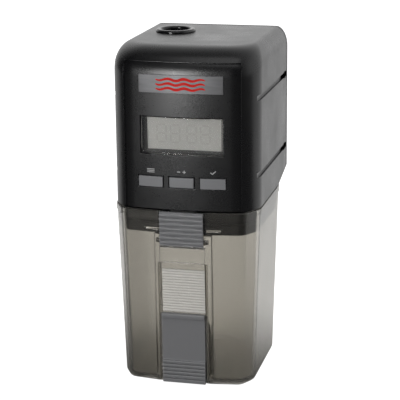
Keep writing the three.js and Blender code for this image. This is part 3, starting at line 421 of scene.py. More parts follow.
def skin_rows():
    """Rows of points over the housing's front and sides."""
    rows = []
    for z in (SHELL_LOW.z - 2, *brow_heights(0)):
        plan = shell_plan(0, z, SHELL_HIGH.y + 2)
        half = len(plan) // 2 + 1
        rows.append([(x, y, z) for x, y in plan[half:] + plan[:half]])
    return rows


def flowing_shade(piece, *surfaces):
    """Gives a cut piece's outer faces the normals of the smooth surfaces that they lie on."""
    corners, faces = [], []
    for rows in surfaces:
        count = len(rows[0])
        for row in range(len(rows) - 1):
            first = len(corners) + row * count
            faces += [(first + i, first + i + 1, first + count + i + 1, first + count + i)
                      for i in range(count - 1)]
        corners += [Vector(point) * MM for row in rows for point in row]
    mesh = bpy.data.meshes.new("skin")
    mesh.from_pydata(corners, [], faces)
    surface = BVHTree.FromPolygons(corners, faces)
    normals = [Vector(corner.vector) for corner in piece.data.corner_normals]
    for face in piece.data.polygons:
        _, _, index, gap = surface.find_nearest(face.center)
        if gap > 0.09 * MM or mesh.polygons[index].normal.dot(face.normal) < 0.97:
            continue
        for loop in face.loop_indices:
            corner = piece.data.vertices[piece.data.loops[loop].vertex_index].co
            spot, _, index, _ = surface.find_nearest(corner)
            ring = mesh.polygons[index].vertices
            shares = poly_3d_calc([corners[i] for i in ring], spot)
            flow = [mesh.vertices[i].normal * share for i, share in zip(ring, shares)]
            normals[loop] = sum(flow, Vector()).normalized()
    piece.data.normals_split_custom_set(normals)
    bpy.data.meshes.remove(mesh)
    return piece


def beam(name, profile, x):
    """A prism along X on a closed profile whose points are (y, z)."""
    return outward(loft(name, [[(end, y, z) for y, z in profile] for end in x]))


def tail_wedge():
    """The space below the housing's tail, whose underside rises towards the back."""
    low, back = SHELL_LOW.z - 2, BACK_HIGH.y + 2
    rise = TAIL_RISE * (back - TAIL_START) / (BACK_HIGH.y - TAIL_START)
    outline = [(TAIL_START, low), (back, low), (back, SHELL_LOW.z + rise),
               (TAIL_START, SHELL_LOW.z)]
    return beam("wedge", outline, (-60, 60))


def front_shell():
    front = SHELL_LOW.y
    shell = shell_body("front_shell", 0, SHELL_LOW.z, SHELL_HIGH.y)
    panel = loft("panel", [[(row[-1][0], front - 3, row[0][2]), *reversed(row),
                            (row[0][0], front - 3, row[0][2])] for row in panel_rows()])
    combine(shell, [panel, shell_body("hollow", WALL, SHELL_LOW.z - 2, SHELL_HIGH.y + 2)])
    window = block("window", (DISPLAY_LOW.x - GAP, DISPLAY_HIGH.x + GAP), (front - 2, front + 5),
                   (DISPLAY_LOW.z - GAP, DISPLAY_HIGH.z + GAP))
    hole = rod("hole", "Z", 7.7, (INLET.x, INLET.y), around(SHELL_HIGH.z, 6))
    cutters = [window, hole, tail_wedge()]
    for name in KEY_NAMES:
        low, high = limits(name)
        inset = KEY_FLANGE - GAP
        cutters.append(block("key_way", (low.x + inset, high.x - inset), (front - 2, front + 5),
                             (low.z + inset, high.z - inset)))
    depth, tall, start, outside = 1.2, 2.4, -24.5, 36
    for side in (-1, 1):
        wall = sorted((side * (SHELL_HIGH.x - depth), side * outside))
        deep = sorted((side * 30, side * outside))
        for z in GROOVE_LEVELS:
            groove = block("groove", wall, (start, 50), around(z, tall))
            combine(groove, [rod("end", "X", tall / 2, (start, z), wall, 24)], "UNION")
            cutters += [groove, block("pocket", deep, (33.5, 38.2), around(z, 3.2))]
    combine(shell, cutters)
    return flowing_shade(ease_edges(shell, 0.25), skin_rows(), panel_rows())


def moulded_texture():
    """Moulded plastic: fine grain, patches polished by handling, and edges rubbed lighter."""
    group = bpy.data.node_groups.new("moulded_texture", "ShaderNodeTree")
    for side, labels in (("INPUT", ("Grain", "Roughness", "Variation", "Wear")),
                         ("OUTPUT", ("Shade", "Roughness", "Height"))):
        for label in labels:
            group.interface.new_socket(label, in_out=side, socket_type="NodeSocketFloat")
    given = add(group, "NodeGroupInput").outputs
    place = add(group, "ShaderNodeTexCoord").outputs["Object"]
    grain = noise(group, place, given["Grain"], 2)
    patches = noise(group, place, 55, 5, Roughness=0.6)
    nicks = noise(group, place, 420, 3)
    rounded = add(group, "ShaderNodeBevel", {"Radius": 0.45 * MM}, samples=4)
    faces = add(group, "ShaderNodeNewGeometry")
    square = add(group, "ShaderNodeVectorMath", {
        0: rounded.outputs["Normal"], 1: faces.outputs["Normal"]}, operation="DOT_PRODUCT")
    edge = spread(group, square.outputs["Value"], 0.995, 0.86)
    rubbed = maths(group, "MULTIPLY", edge, spread(group, nicks, 0.4, 0.62))
    worn = maths(group, "MULTIPLY", rubbed, given["Wear"])
    drift = maths(group, "MULTIPLY", maths(group, "SUBTRACT", patches, 0.5), given["Variation"])
    rough = maths(group, "SUBTRACT", given["Roughness"], drift)
    speckle = spread(group, grain, 0, 1, -0.06, 0.06)
    add(group, "NodeGroupOutput", {
        "Shade": maths(group, "ADD", drift, worn, use_clamp=True),
        "Roughness": maths(group, "ADD", rough, speckle, use_clamp=True), "Height": grain})
    return group


MOULDED = moulded_texture()


def moulded(name, colour, worn, roughness, grain=2500, relief=0.02, variation=0.2, wear=0.3):
    """An opaque plastic: its colour, the colour of its rubbed edges, its grain and relief."""
    material, tree, shader = fresh_material(name)
    texture = add(tree, "ShaderNodeGroup", {
        "Grain": grain, "Roughness": roughness, "Variation": variation, "Wear": wear},
        node_tree=MOULDED).outputs
    bump = add(tree, "ShaderNodeBump", {"Height": texture["Height"], "Distance": relief * MM})
    feed(tree, shader, {
        "Base Color": blend(tree, texture["Shade"], (*colour, 1), (*worn, 1)),
        "Roughness": texture["Roughness"], "Normal": bump.outputs["Normal"]})
    return material


black_abs = moulded("black_abs", (0.005, 0.005, 0.0056), (0.06, 0.06, 0.065), 0.29,
                    grain=2200, relief=0.02)
settle(front_shell(), "housing", "black_plastic", black_abs, "front_housing")


# ---- Back cover and battery door ----
# A flat plate closes the shell at the back, held by two screws at its top corners. The
# battery door slides down out of it on two thin side tongues, and has a ribbed thumb grip.

DOOR_LOW, DOOR_HIGH = limits("battery_door")
TONGUE = 1


def back_cover():
    cover = shell_body("back_plate", 0, SHELL_LOW.z, BACK_HIGH.y)
    ahead = block("ahead", (-60, 60), (-60, BACK_LOW.y), (60, 180))
    y = BACK_LOW.y - 1, BACK_HIGH.y + 1
    z = SHELL_LOW.z - 2, DOOR_HIGH.z + GAP
    side = DOOR_HIGH.x - TONGUE + GAP
    way = block("door_way", (-side, side), y, z)
    slot = block("tongue_way", (-side - TONGUE, side + TONGUE),
                 around(midpoint("back_cover")[1], 1.2), z)
    cutters = [ahead, tail_wedge(), way, slot]
    hole, seat, sunk = 1.3, 2.3, 1.3
    for name in ("cover_screw_1", "cover_screw_2"):
        spot = midpoint(name)[::2]
        cutters.append(rod("hole", "Y", hole, spot, y))
        cutters.append(rod("seat", "Y", seat, spot, (BACK_HIGH.y - sunk, y[1])))
    return ease_edges(combine(cover, cutters), 0.3)


def battery_door():
    side = DOOR_HIGH.x - TONGUE
    z = DOOR_LOW.z, DOOR_HIGH.z
    door = block("battery_door_plate", (-side, side), (DOOR_LOW.y, DOOR_HIGH.y), z)
    tongues = block("tongues", (-DOOR_HIGH.x, DOOR_HIGH.x),
                    around(midpoint("battery_door")[1], 0.6), z)
    combine(door, [tongues], "UNION")
    grip_side, hollow, pitch = (-8, 8), 30, 2
    grip = rod("grip", "X", hollow, (DOOR_HIGH.y + hollow - 0.5, DOOR_LOW.z + 12), grip_side, 160)
    grooves = [rod("groove", "X", 0.5, (DOOR_HIGH.y - 0.35, DOOR_LOW.z + 8 + pitch * i),
                   grip_side, 16) for i in range(5)]
    arrow = rod("arrow", "Y", 2.6, (0, DOOR_LOW.z + 23), (DOOR_HIGH.y - 0.4, DOOR_HIGH.y + 1), 3)
    combine(door, [tail_wedge(), grip, *grooves, arrow])
    return ease_edges(door, 0.2)


settle(back_cover(), "housing", "black_plastic", black_abs, "back_cover")
settle(battery_door(), "battery_door", "black_plastic", black_abs, "battery_door")


# ---- Cover screws ----
# Two plated steel screws with domed heads and crossed recesses, sunk in the back cover.

def steel_finish(name, colour, roughness, lines):
    """A bare metal with fine lines from drawing or turning, and a little dulling."""
    material, tree, shader = fresh_material(name)
    place = add(tree, "ShaderNodeMapping", {
        "Vector": add(tree, "ShaderNodeTexCoord").outputs["Object"], "Scale": lines})
    drawn = noise(tree, place.outputs["Vector"], 900, 3)
    texture = add(tree, "ShaderNodeGroup", {
        "Grain": 1500, "Roughness": roughness, "Variation": 0.3, "Wear": 0.5},
        node_tree=MOULDED)
    dull = tuple(channel * 0.6 for channel in colour)
    bump = add(tree, "ShaderNodeBump", {"Height": drawn, "Distance": 0.01 * MM})
    feed(tree, shader, {
        "Metallic": 1, "Base Color": blend(tree, drawn, (*dull, 1), (*colour, 1)),
        "Roughness": texture.outputs["Roughness"], "Normal": bump.outputs["Normal"]})
    return material


plated_steel = steel_finish("plated_steel", (0.62, 0.62, 0.63), 0.32, (1, 1, 0.1))


def cover_screw(number):
    node = f"cover_screw_{number}"
    low, high = limits(node)
    x, z = midpoint(node)[::2]
    screw = rod(f"screw_{number}", "Y", 2, (x, z), (high.y - 1, high.y))
    only(screw)
    bpy.ops.object.mode_set(mode="EDIT")
    mesh = bmesh.from_edit_mesh(screw.data)
    for face in mesh.faces:
        face.select = face.normal.y > 0.9
    bpy.ops.mesh.inset(thickness=0.5 * MM)
    bpy.ops.transform.translate(value=(0, 0.1 * MM, 0))
    bpy.ops.object.mode_set(mode="OBJECT")
    shank = rod("shank", "Y", 0.8, (x, z), (low.y, high.y - 0.5), 24)
    combine(screw, [shank], "UNION")
    crosses = [block("cross", around(x, wide), (high.y - 0.5, high.y + 1), around(z, tall))
               for wide, tall in ((2.4, 0.5), (0.5, 2.4))]
    ease_edges(combine(screw, crosses), 0.06)
    settle(screw, "housing", "steel", plated_steel, node)


for number in (1, 2):
    cover_screw(number)


# ---- Deck ----
# The floor of the housing, a flat black moulding that carries the drum's bearing bush.

inner_abs = moulded("inner_abs", (0.009, 0.009, 0.0095), (0.06, 0.06, 0.06), 0.5, grain=1600)


def dress(material, *names):
    """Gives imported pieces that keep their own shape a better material."""
    for name in names:
        for holder in frame["nodes"][name].material_slots:
            holder.material = material


dress(black_abs, "deck_plate")


# ---- Air inlet ----
# A glossy turned ring is pressed into the roof; deep inside it a slotted grille guards the fan.

glossy_black = moulded("glossy_black", (0.008, 0.008, 0.009), (0.05, 0.05, 0.05), 0.16,
                       grain=900, relief=0.004, variation=0.1, wear=0.1)


def turned(name, profile, x, y, steps=96):
    """A piece turned about an upright axis, from a closed profile of (radius, height)."""
    mesh = bpy.data.meshes.new(name)
    corners = [Vector((x + radius, y, z)) * MM for radius, z in profile]
    mesh.from_pydata(corners, [(i, (i + 1) % len(corners)) for i in range(len(corners))], [])
    piece = set_out(name, mesh)
    open_whole(piece)
    bpy.ops.mesh.spin(steps=steps, angle=2 * math.pi, center=(x * MM, y * MM, 0), axis=(0, 0, 1))
    bpy.ops.mesh.select_all(action="SELECT")
    bpy.ops.mesh.remove_doubles(threshold=0.001 * MM)
    bpy.ops.object.mode_set(mode="OBJECT")
    outward(piece)
    bpy.ops.object.shade_smooth_by_angle(angle=math.radians(40))
    return piece


def inlet_ring():
    low, high = limits("inlet_ring")
    outside, mouth, sleeve, bore = high.x - INLET.x, 7.75, 7.4, 6.7
    round_edge = 1.05
    roof = SHELL_HIGH.z + 0.1
    crown = high.z - round_edge
    over = arc(outside - round_edge, crown, round_edge, 0, math.pi / 2, 10)
    inner = arc(mouth, crown, round_edge, math.pi / 2, math.pi, 10)
    profile = [(bore, low.z), (sleeve, low.z), (sleeve, roof), (outside, roof), *over, *inner]
    return turned("air_inlet_ring", profile, INLET.x, INLET.y)


def inlet_grille():
    low, high = limits("inlet_grille")
    grille = rod("air_inlet_grille", "Z", high.x - INLET.x, (INLET.x, INLET.y), (low.z, high.z))
    slots = []
    for x in (-3.6, -1.2, 1.2, 3.6):
        length = 2 * math.sqrt(5.6 ** 2 - x ** 2)
        slots.append(block("slot", around(INLET.x + x, 1.3), around(INLET.y, length),
                           (low.z - 1, high.z + 1)))
    return ease_edges(combine(grille, slots), 0.15)


settle(inlet_ring(), "housing", "inner_black", glossy_black, "inlet_ring")
settle(inlet_grille(), "housing", "inner_black", inner_abs, "inlet_grille")


# ---- Badge ----
# A thin silver plate let into the recessed panel, printed with three red waves.

brushed_silver = steel_finish("brushed_silver", (0.17, 0.17, 0.175), 0.42, (0.08, 1, 1))
red_ink = moulded("red_ink", (0.62, 0.008, 0.006), (0.6, 0.05, 0.05), 0.35, relief=0.005)
red_ink.node_tree.nodes["Principled BSDF"].inputs["Specular IOR Level"].default_value = 0.1
BADGE_LOW, BADGE_HIGH = limits("badge_plate")


def bowed_band(name, x, depth, z, steps=24):
    """A band that follows the shell's bowed front between two depths below its face."""
    outer, inner = (BOW_RADIUS - d for d in depth)
    start, end = (math.asin(side / BOW_RADIUS) - math.pi / 2 for side in x)
    plan = arc(0, BOW_CENTRE, outer, start, end, steps) + arc(0, BOW_CENTRE, inner, end, start, steps)
    return loft(name, [[(x, y, level) for x, y in plan] for level in z])


def wave(name, middle, height, depth):
    """One printed wave across the badge, standing a hair proud of it."""
    steps, swing, thick = 60, 0.42, 1.3
    rings = []
    for i in range(steps + 1):
        x = -11.3 + 22.6 * i / steps
        centre = middle + swing * math.sin(2 * math.pi * x / 7.5)
        swell = thick * (0.35 + 0.65 * math.sin(math.pi * i / steps) ** 0.5) / 2
        face = BOW_CENTRE - math.sqrt((BOW_RADIUS - depth) ** 2 - x ** 2)
        rings.append([(x, face, centre - swell), (x, face + height, centre - swell),
                      (x, face + height, centre + swell), (x, face, centre + swell)])
    return outward(loft(name, rings))


badge = bowed_band("silver_badge", (BADGE_LOW.x, BADGE_HIGH.x), (0.12, PANEL_DEPTH - 0.1),
                   (BADGE_LOW.z, BADGE_HIGH.z))
settle(ease_edges(badge, 0.12), "housing", "silver", brushed_silver, "badge_plate")
for number, rise in enumerate((-2.05, 0, 2.05), 1):
    settle(wave(f"badge_wave_{number}", midpoint("badge_plate")[2] + rise, 0.1, 0.08), "housing",
           "silver", red_ink)


# ---- Display ----
# A clear bowed window, a stepped black shroud behind it, and the liquid crystal glass with the
# faint ghosts of its unlit figures.

def clear_plastic(name, tint, roughness, haze):
    """A see-through plastic with faint smears; lamp light passes straight through it."""
    material, tree, shader = fresh_material(name)
    smears = noise(tree, add(tree, "ShaderNodeTexCoord").outputs["Object"], 60, 4)
    smeared = tuple(channel * 0.94 for channel in tint)
    feed(tree, shader, {
        "Transmission Weight": 1, "IOR": 1.49,
        "Base Color": blend(tree, smears, (*tint, 1), (*smeared, 1)),
        "Roughness": spread(tree, smears, 0, 1, roughness, roughness + haze)})
    through = add(tree, "ShaderNodeBsdfTransparent", {
        "Color": (*(math.sqrt(channel) for channel in tint), 1)})
    mix = add(tree, "ShaderNodeMixShader", {
        0: add(tree, "ShaderNodeLightPath").outputs["Is Shadow Ray"],
        1: shader.outputs["BSDF"], 2: through.outputs["BSDF"]})
    feed(tree, tree.nodes["Material Output"], {"Surface": mix.outputs["Shader"]})
    return material


window_plastic = clear_plastic("window_plastic", (0.96, 0.96, 0.95), 0.03, 0.04)
lcd_glass = moulded("lcd_glass", (0.26, 0.255, 0.243), (0.28, 0.275, 0.26), 0.2, grain=600,
                    relief=0.002, wear=0)
lcd_ghost = moulded("lcd_ghost", (0.235, 0.23, 0.218), (0.24, 0.235, 0.22), 0.2, wear=0)
shroud_black = moulded("shroud_black", (0.003, 0.003, 0.003), (0.01, 0.01, 0.01), 0.6, wear=0)
GLASS_LOW, GLASS_HIGH = limits("display_glass")


def display_window():
    x = DISPLAY_LOW.x, DISPLAY_HIGH.x
    return ease_edges(bowed_band("display_window", x, (1.1, 2.6),
                                 (DISPLAY_LOW.z, DISPLAY_HIGH.z)), 0.15)


def display_shroud():
    low, high = limits("display_frame")
    side = DISPLAY_HIGH.x + GAP
    z = DISPLAY_LOW.z - GAP, DISPLAY_HIGH.z + GAP
    shroud = block("display_shroud", (low.x, high.x), (low.y, high.y), (low.z, high.z))
    well = block("well", (-side, side), (low.y - 1, GLASS_LOW.y - 0.8), z)
    opening = block("opening", (2 - side, side - 2), (low.y - 1, high.y + 1),
                    (z[0] + 1.4, z[1] - 1.2))
    seat = block("seat", around(0, 2 * side + 1.6), (GLASS_LOW.y - GAP, high.y + 1),
                 (z[0] - 0.8, z[1] + 0.8))
    return ease_edges(combine(shroud, [well, opening, seat]), 0.15)


def figure_bar(x, z, long, thick, upright):
    """One bar of a figure: a flat strip with pointed ends."""
    half, tip = long / 2, thick / 2
    points = [(-half, 0), (tip - half, -tip), (half - tip, -tip), (half, 0),
              (half - tip, tip), (tip - half, tip)]
    if upright:
        points = [(-b, a) for a, b in points]
    y = GLASS_LOW.y
    rings = [[(x + a, level, z + b) for a, b in points] for level in (y - 0.02, y + 0.02)]
    return loft("bar", rings)


def joined(name, parts):
    """Joins separate bodies into one piece."""
    bpy.ops.object.select_all(action="DESELECT")
    for part in parts:
        part.select_set(True)
    bpy.context.view_layer.objects.active = parts[0]
    bpy.ops.object.join()
    parts[0].name = name
    return outward(parts[0])


def figures():
    """Four unlit figures of seven bars each, the ghosts that a display shows at rest."""
    bars = []
    wide, tall, thick = 4.2, 4, 0.75
    middle = midpoint("display_glass")[2]
    for x in (-10.5, -4.2, 3.4, 9.7):
        for level in (-tall, 0, tall):
            bars.append(figure_bar(x, middle + level, wide - 0.6, thick, False))
        for side in (-wide / 2, wide / 2):
            for level in (-tall / 2, tall / 2):
                bars.append(figure_bar(x + side, middle + level, tall - 0.6, thick, True))
    return joined("display_figures", bars)


glass = block("lcd_cell", (GLASS_LOW.x, GLASS_HIGH.x), (GLASS_LOW.y, GLASS_HIGH.y),
              (GLASS_LOW.z, GLASS_HIGH.z))
settle(display_window(), "housing", "clear_plastic", window_plastic, "display_lens")
settle(display_shroud(), "housing", "inner_black", shroud_black, "display_frame")
settle(ease_edges(glass, 0.1), "housing", "liquid_crystal", lcd_glass, "display_glass")
settle(figures(), "housing", "liquid_crystal", lcd_ghost)


# ---- Keys ----
# Three grey caps stand a little out of the panel. Each has a flange behind the wall and a
# stem that reaches its switch. Small white symbols are printed on the panel above them.

key_plastic = moulded("key_plastic", (0.2, 0.202, 0.21), (0.3, 0.3, 0.31), 0.42,
                      grain=1800, relief=0.015, wear=0.5)
white_ink = moulded("white_ink", (0.5, 0.5, 0.5), (0.6, 0.6, 0.6), 0.5, relief=0.005)


def key_cap(name):
    low, high = limits(name)
    x = low.x + KEY_FLANGE, high.x - KEY_FLANGE
    z = low.z + KEY_FLANGE, high.z - KEY_FLANGE
    wall = SHELL_LOW.y + WALL + 2
    cap = bowed_band(f"{name}_cap", (-PANEL_SIDE, PANEL_SIDE), (PANEL_DEPTH - 0.6, 8), z)
    combine(cap, [block("cap", x, (SHELL_LOW.y - 2, wall + 0.5), z)], "INTERSECT")
    modify(cap, "BEVEL", width=0.45 * MM, segments=4, angle_limit=math.radians(50))
    plate = block("flange", (low.x, high.x), (wall, wall + 1), (low.z, high.z))
    stem = rod("stem", "Y", 1.2, midpoint(name)[::2], (wall + 0.5, high.y), 24)
    combine(cap, [plate, stem], "UNION")
    return ease_edges(cap, 0.05, angle=60)


def printed(name, outlines):
    """Flat printed marks on the recessed panel, each an outline of (x, z) points."""
    return joined(name, [
        loft(name, [[(x, BOW_CENTRE - math.sqrt((BOW_RADIUS - depth) ** 2 - x * x), z)
                     for x, z in outline] for depth in (PANEL_DEPTH - 0.05, PANEL_DEPTH + 0.05)])
        for outline in outlines])


def bar_outline(x, z, wide, tall):
    (x0, x1), (z0, z1) = around(x, wide), around(z, tall)
    return [(x0, z0), (x1, z0), (x1, z1), (x0, z1)]


for name in KEY_NAMES:
    settle(key_cap(name), name, "grey_plastic", key_plastic, name)
level = limits(KEY_NAMES[0])[1].z + 1.7
left, middle, right = (midpoint(name)[0] for name in KEY_NAMES)
plus = middle + 1.3
symbols = {
    "list_symbol": [bar_outline(left, level + rise, 3.6, 0.32) for rise in (-0.7, 0, 0.7)],
    "step_symbol": [bar_outline(middle - 1.3, level, 1.5, 0.35),
                    bar_outline(plus, level, 1.5, 0.35),
                    bar_outline(plus, level + 0.46, 0.35, 0.55),
                    bar_outline(plus, level - 0.46, 0.35, 0.55)],
    "tick_symbol": [[(right + across, level + rise) for across, rise in (
        (-1.2, 0.1), (-0.3, -0.75), (1.4, 0.75), (1.1, 1), (-0.3, -0.25), (-0.95, 0.35))]],
}
for name, outlines in symbols.items():
    settle(printed(name, outlines), "housing", "white_plastic", white_ink)


# ---- Electronics ----
# A green circuit board stands behind the display, with its controller and three key switches.

solder_resist = moulded("solder_resist", (0.012, 0.09, 0.03), (0.05, 0.2, 0.09), 0.3,
                        grain=700, relief=0.01)
dress(solder_resist, "circuit_board")
dress(inner_abs, "controller_chip", "switch_left", "switch_middle", "switch_right")


# ---- Fan ----
# A small motor hangs on the bridge of a round duct and turns the five-bladed impeller below
# the inlet, which keeps the damp air of the tank out of the drum.

dress(inner_abs, "fan_duct", "fan_impeller")
dress(plated_steel, "fan_motor")


# ---- Batteries ----
# Four AA cells in printed sleeves stand in a black tray between sprung steel contacts. Cells
# one and three have their buttons up, and the other two have theirs down.

def cell_sleeve():
    """A shrunk, printed film: blue, with a pale band near the button end."""
    material = moulded("cell_sleeve", (0.02, 0.075, 0.24), (0.3, 0.36, 0.5), 0.28,
                       grain=500, relief=0.01)
    tree = material.node_tree
    shader = tree.nodes["Principled BSDF"]
    shader.inputs["Coat Weight"].default_value = 0.4
    height = add(tree, "ShaderNodeSeparateXYZ", {
        "Vector": add(tree, "ShaderNodeTexCoord").outputs["Object"]}).outputs["Z"]
    band = maths(tree, "COMPARE", height, 134 * MM, 2.2 * MM)
    film = shader.inputs["Base Color"].links[0].from_socket
    feed(tree, shader, {"Base Color": blend(tree, band, film, (0.6, 0.62, 0.66, 1))})
    return material


def battery_cell(number, sleeve):
    node = f"battery_cell_{number}"
    low, high = limits(node)
    x, y = midpoint(node)[:2]
    radius = (high.x - low.x) / 2
    button, ease, dish = 0.9, 0.3, 0.35
    up = number % 2
    foot, head = (low.z, high.z - button) if up else (low.z + button, high.z)
    half = [(0.001, dish), (radius - 1.6, dish), (radius - 1.2, 0), (radius - ease, 0),
            (radius, ease)]
    profile = [(r, foot + z) for r, z in half] + [(r, head - z) for r, z in reversed(half)]
    settle(turned(f"cell_{number}", profile, x, y, 64), "housing", "cell", sleeve, node)
    end = (head - ease, high.z) if up else (low.z, foot + ease)
    button = ease_edges(rod(f"cell_button_{number}", "Z", 2.6, (x, y), end), 0.3)
    settle(button, "housing", "steel", plated_steel)


def contact_spring(number):
    """A conical coil of spring wire, wide on its plate and narrow against the cell."""
    node = f"contact_spring_{number}"
    low, high = limits(node)
    x, y = midpoint(node)[:2]
    wire, turns, steps = 0.25, 3.5, 112
    curve = bpy.data.curves.new(node + "_coil", "CURVE")
    curve.dimensions = "3D"
    curve.bevel_depth = wire * MM
    curve.bevel_resolution = 3
    curve.use_fill_caps = True
    path = curve.splines.new("POLY")
    path.points.add(steps)
    for i, point in enumerate(path.points):
        share = i / steps
        radius = 3.75 - 1.5 * share
        rise = wire + (high.z - low.z - 2 * wire) * share
        z = low.z + rise if number % 2 else high.z - rise
        angle = 2 * math.pi * turns * share
        spot = Vector((x + radius * math.cos(angle), y + radius * math.sin(angle), z)) * MM
        point.co = (*spot, 1)
    only(set_out(node + "_coil", curve))
    bpy.ops.object.convert(target="MESH")
    open_whole(bpy.context.object)
    bpy.ops.mesh.remove_doubles(threshold=0.001 * MM)
    bpy.ops.object.mode_set(mode="OBJECT")
    bpy.ops.object.shade_smooth()
    settle(bpy.context.object, "housing", "steel", plated_steel, node)


sleeve = cell_sleeve()
for number in (1, 2, 3, 4):
    battery_cell(number, sleeve)
    contact_spring(number)
dress(inner_abs, "battery_tray")
dress(plated_steel, "contact_plate_bottom_left", "contact_plate_bottom_middle",
      "contact_plate_bottom_right", "contact_plate_top_left", "contact_plate_top_right")


# ---- Drive ----
# A can motor with a brass pinion turns the hub through three stages of nylon gears, held
# between two white plates on steel pins.

nylon = moulded("natural_nylon", (0.62, 0.57, 0.44), (0.75, 0.72, 0.62), 0.38, grain=800)
white_acetal = moulded("white_acetal", (0.62, 0.6, 0.56), (0.75, 0.74, 0.72), 0.42, grain=1200)
cut_brass = steel_finish("cut_brass", (0.72, 0.48, 0.18), 0.3, (1, 1, 0.2))
dress(nylon, "bearing_bush", "output_gear", "compound_gear_1", "compound_gear_2")
dress(white_acetal, "gearbox_base", "gearbox_cover")
dress(plated_steel, "gear_pin_1", "gear_pin_2", "gearbox_screw_1", "gearbox_screw_2",
      "retaining_clip", "drive_motor")
dress(cut_brass, "motor_pinion")


# ---- Hub ----
# A black lid that the motor turns. Its collar fits inside the drum's rim, with a rubber seal
# in a groove and two slots that ribs inside the drum snap into.

DRAFT = math.radians(1.86)
DRUM_WALL = 1.6
HUB_LOW, HUB_HIGH = limits("drive_hub")
SEAL_LOW, SEAL_HIGH = limits("drum_seal")
TRACK_Y = -(35.5 - SHELL_LOW.z * math.tan(DRAFT))
HOOK_SIDE = 5.6
HUB_TOP = 83.4


def inward(start, end):
    along = (Vector(end) - Vector(start)).normalized()
    return Vector((-along.y, along.x))


def drum_plan(inset):
    """The drum's plan: flat sides, slanted corners and a slightly bowed front and back."""
    quarter = [(9.5, -35.5), (28.5, -32.8), (33.9, -23.05)]
    right = quarter + [(x, -y) for x, y in reversed(quarter)]
    whole = [Vector(p) for p in right + [(-x, y) for x, y in reversed(right)]]
    count = len(whole)
    moved = []
    for i, point in enumerate(whole):
        first = inward(whole[i - 1], point)
        second = inward(point, whole[(i + 1) % count])
        moved.append(point + (first + second) * inset / (1 + first.dot(second)))
    plan = []
    for i, point in enumerate(moved):
        before = point + (moved[i - 1] - point).normalized() * 2
        after = point + (moved[(i + 1) % count] - point).normalized() * 2
        for share in (0, 0.17, 0.33, 0.5, 0.67, 0.83, 1):
            plan.append(before.lerp(point, share).lerp(point.lerp(after, share), share))
    return plan


def drum_ring(z, depth=0):
    """The drum's drafted plan at a height, at a depth below its outer face."""
    inset = (SHELL_LOW.z - z) * math.tan(DRAFT) + depth
    return [(x, y, z) for x, y in drum_plan(inset)]


def drafted(name, depth, *heights):
    return loft(name, [drum_ring(z, depth) for z in heights])


def lean(piece):
    """Moves a piece from the track's own leaning frame to the drum's front wall."""
    piece.data.transform(Matrix.Translation((0, TRACK_Y * MM, 0)) @ Matrix.Rotation(DRAFT, 4, "X"))
    return piece


def track_block(x, y, z):
    return lean(block("track_block", x, y, z))


SNAPS = -14.2, 14.2
SNAP_LENGTH = 6
SNAP_LEVEL = 74.5, 75


def drive_hub():
    fit = DRUM_WALL + 0.35
    cup = drafted("hub_collar", fit, HUB_LOW.z, HUB_TOP)
    seal_groove = drafted("band", 0, SEAL_LOW.z - 0.1, SEAL_HIGH.z + 0.1)
    combine(seal_groove, [drafted("core", fit + 0.9, 60, 90)])
    hollow = drafted("hollow", fit + 2, HUB_LOW.z - 1, HUB_TOP - 1.5)
    hook_way = track_block((-HOOK_SIDE - 0.6, HOOK_SIDE + 0.6), (0, 3.5), (HUB_LOW.z - 2, 90))
    combine(cup, [seal_groove, hollow, hook_way])
    slot_level = SNAP_LEVEL[0] - 0.3, SNAP_LEVEL[1] + 0.3
    combine(cup, [block("slot", around(x, SNAP_LENGTH + 1), (-40, -25), slot_level)
                  for x in SNAPS])
    shaft = rod("shaft", "Z", 4, (0, 0), (HUB_TOP - 1, HUB_HIGH.z))
    clip_low, clip_high = limits("retaining_clip")
    neck = rod("neck", "Z", 5, (0, 0), (clip_low.z - 0.1, clip_high.z + 0.1))
    combine(neck, [rod("core", "Z", 3.3, (0, 0), (clip_low.z - 1, clip_high.z + 1))])
    combine(shaft, [neck])
    return ease_edges(combine(cup, [shaft], "UNION"), 0.15)


def drum_seal():
    ring = drafted("seal_ring", DRUM_WALL + 0.15, SEAL_LOW.z, SEAL_HIGH.z)
    gap = track_block((-HOOK_SIDE - 0.9, HOOK_SIDE + 0.9), (0, 8), (60, 90))
    return ease_edges(combine(ring, [drafted("core", DRUM_WALL + 1.1, 60, 90), gap]), 0.25, 3)


soft_rubber = moulded("soft_rubber", (0.012, 0.012, 0.012), (0.05, 0.05, 0.05), 0.75, wear=0.1)
settle(drive_hub(), "hub", "inner_black", inner_abs, "drive_hub")
settle(drum_seal(), "hub", "rubber", soft_rubber, "drum_seal")


# ---- Food drum ----
# One smoke-tinted, polished moulding with a drafted wall and a thick rim. Its front has a
# track for the dosing slide, an outlet through the wall and sockets for the latch's trunnions.

TRACK_SIDE = 10.5
TRACK_TOP = 59
TRACK_DEPTH = 3.4
GROOVE_SIDE = 11.6
PIVOT_Y, PIVOT_Z = 1.6, 69.7
LATCH_FOOT = 67.5
RIM_TOP = limits("food_drum")[1].z
RIM_HEIGHT = 2.9


def drum_outside():
    """The outer skin: a rounded base, the drafted wall and the rim that stands proud."""
    base, steps = 2.2, 8
    rings = []
    for i in range(steps):
        angle = math.pi / 2 * i / steps
        rings.append(drum_ring(base * (1 - math.cos(angle)), base * (1 - math.sin(angle))))
    rim = RIM_TOP - RIM_HEIGHT
    rings += [drum_ring(base), drum_ring(rim)]
    rings += [[(x, y, z) for x, y in drum_plan(-0.3)] for z in (rim, RIM_TOP)]
    return rings


def drum_inside():
    """The food space, with a rounded foot."""
    foot, steps, floor = 1.5, 6, 2
    rings = []
    for i in range(steps):
        angle = math.pi / 2 * i / steps
        z = floor + foot * (1 - math.cos(angle))
        rings.append(drum_ring(z, DRUM_WALL + foot * (1 - math.sin(angle))))
    return rings + [drum_ring(floor + foot, DRUM_WALL), drum_ring(90, DRUM_WALL)]


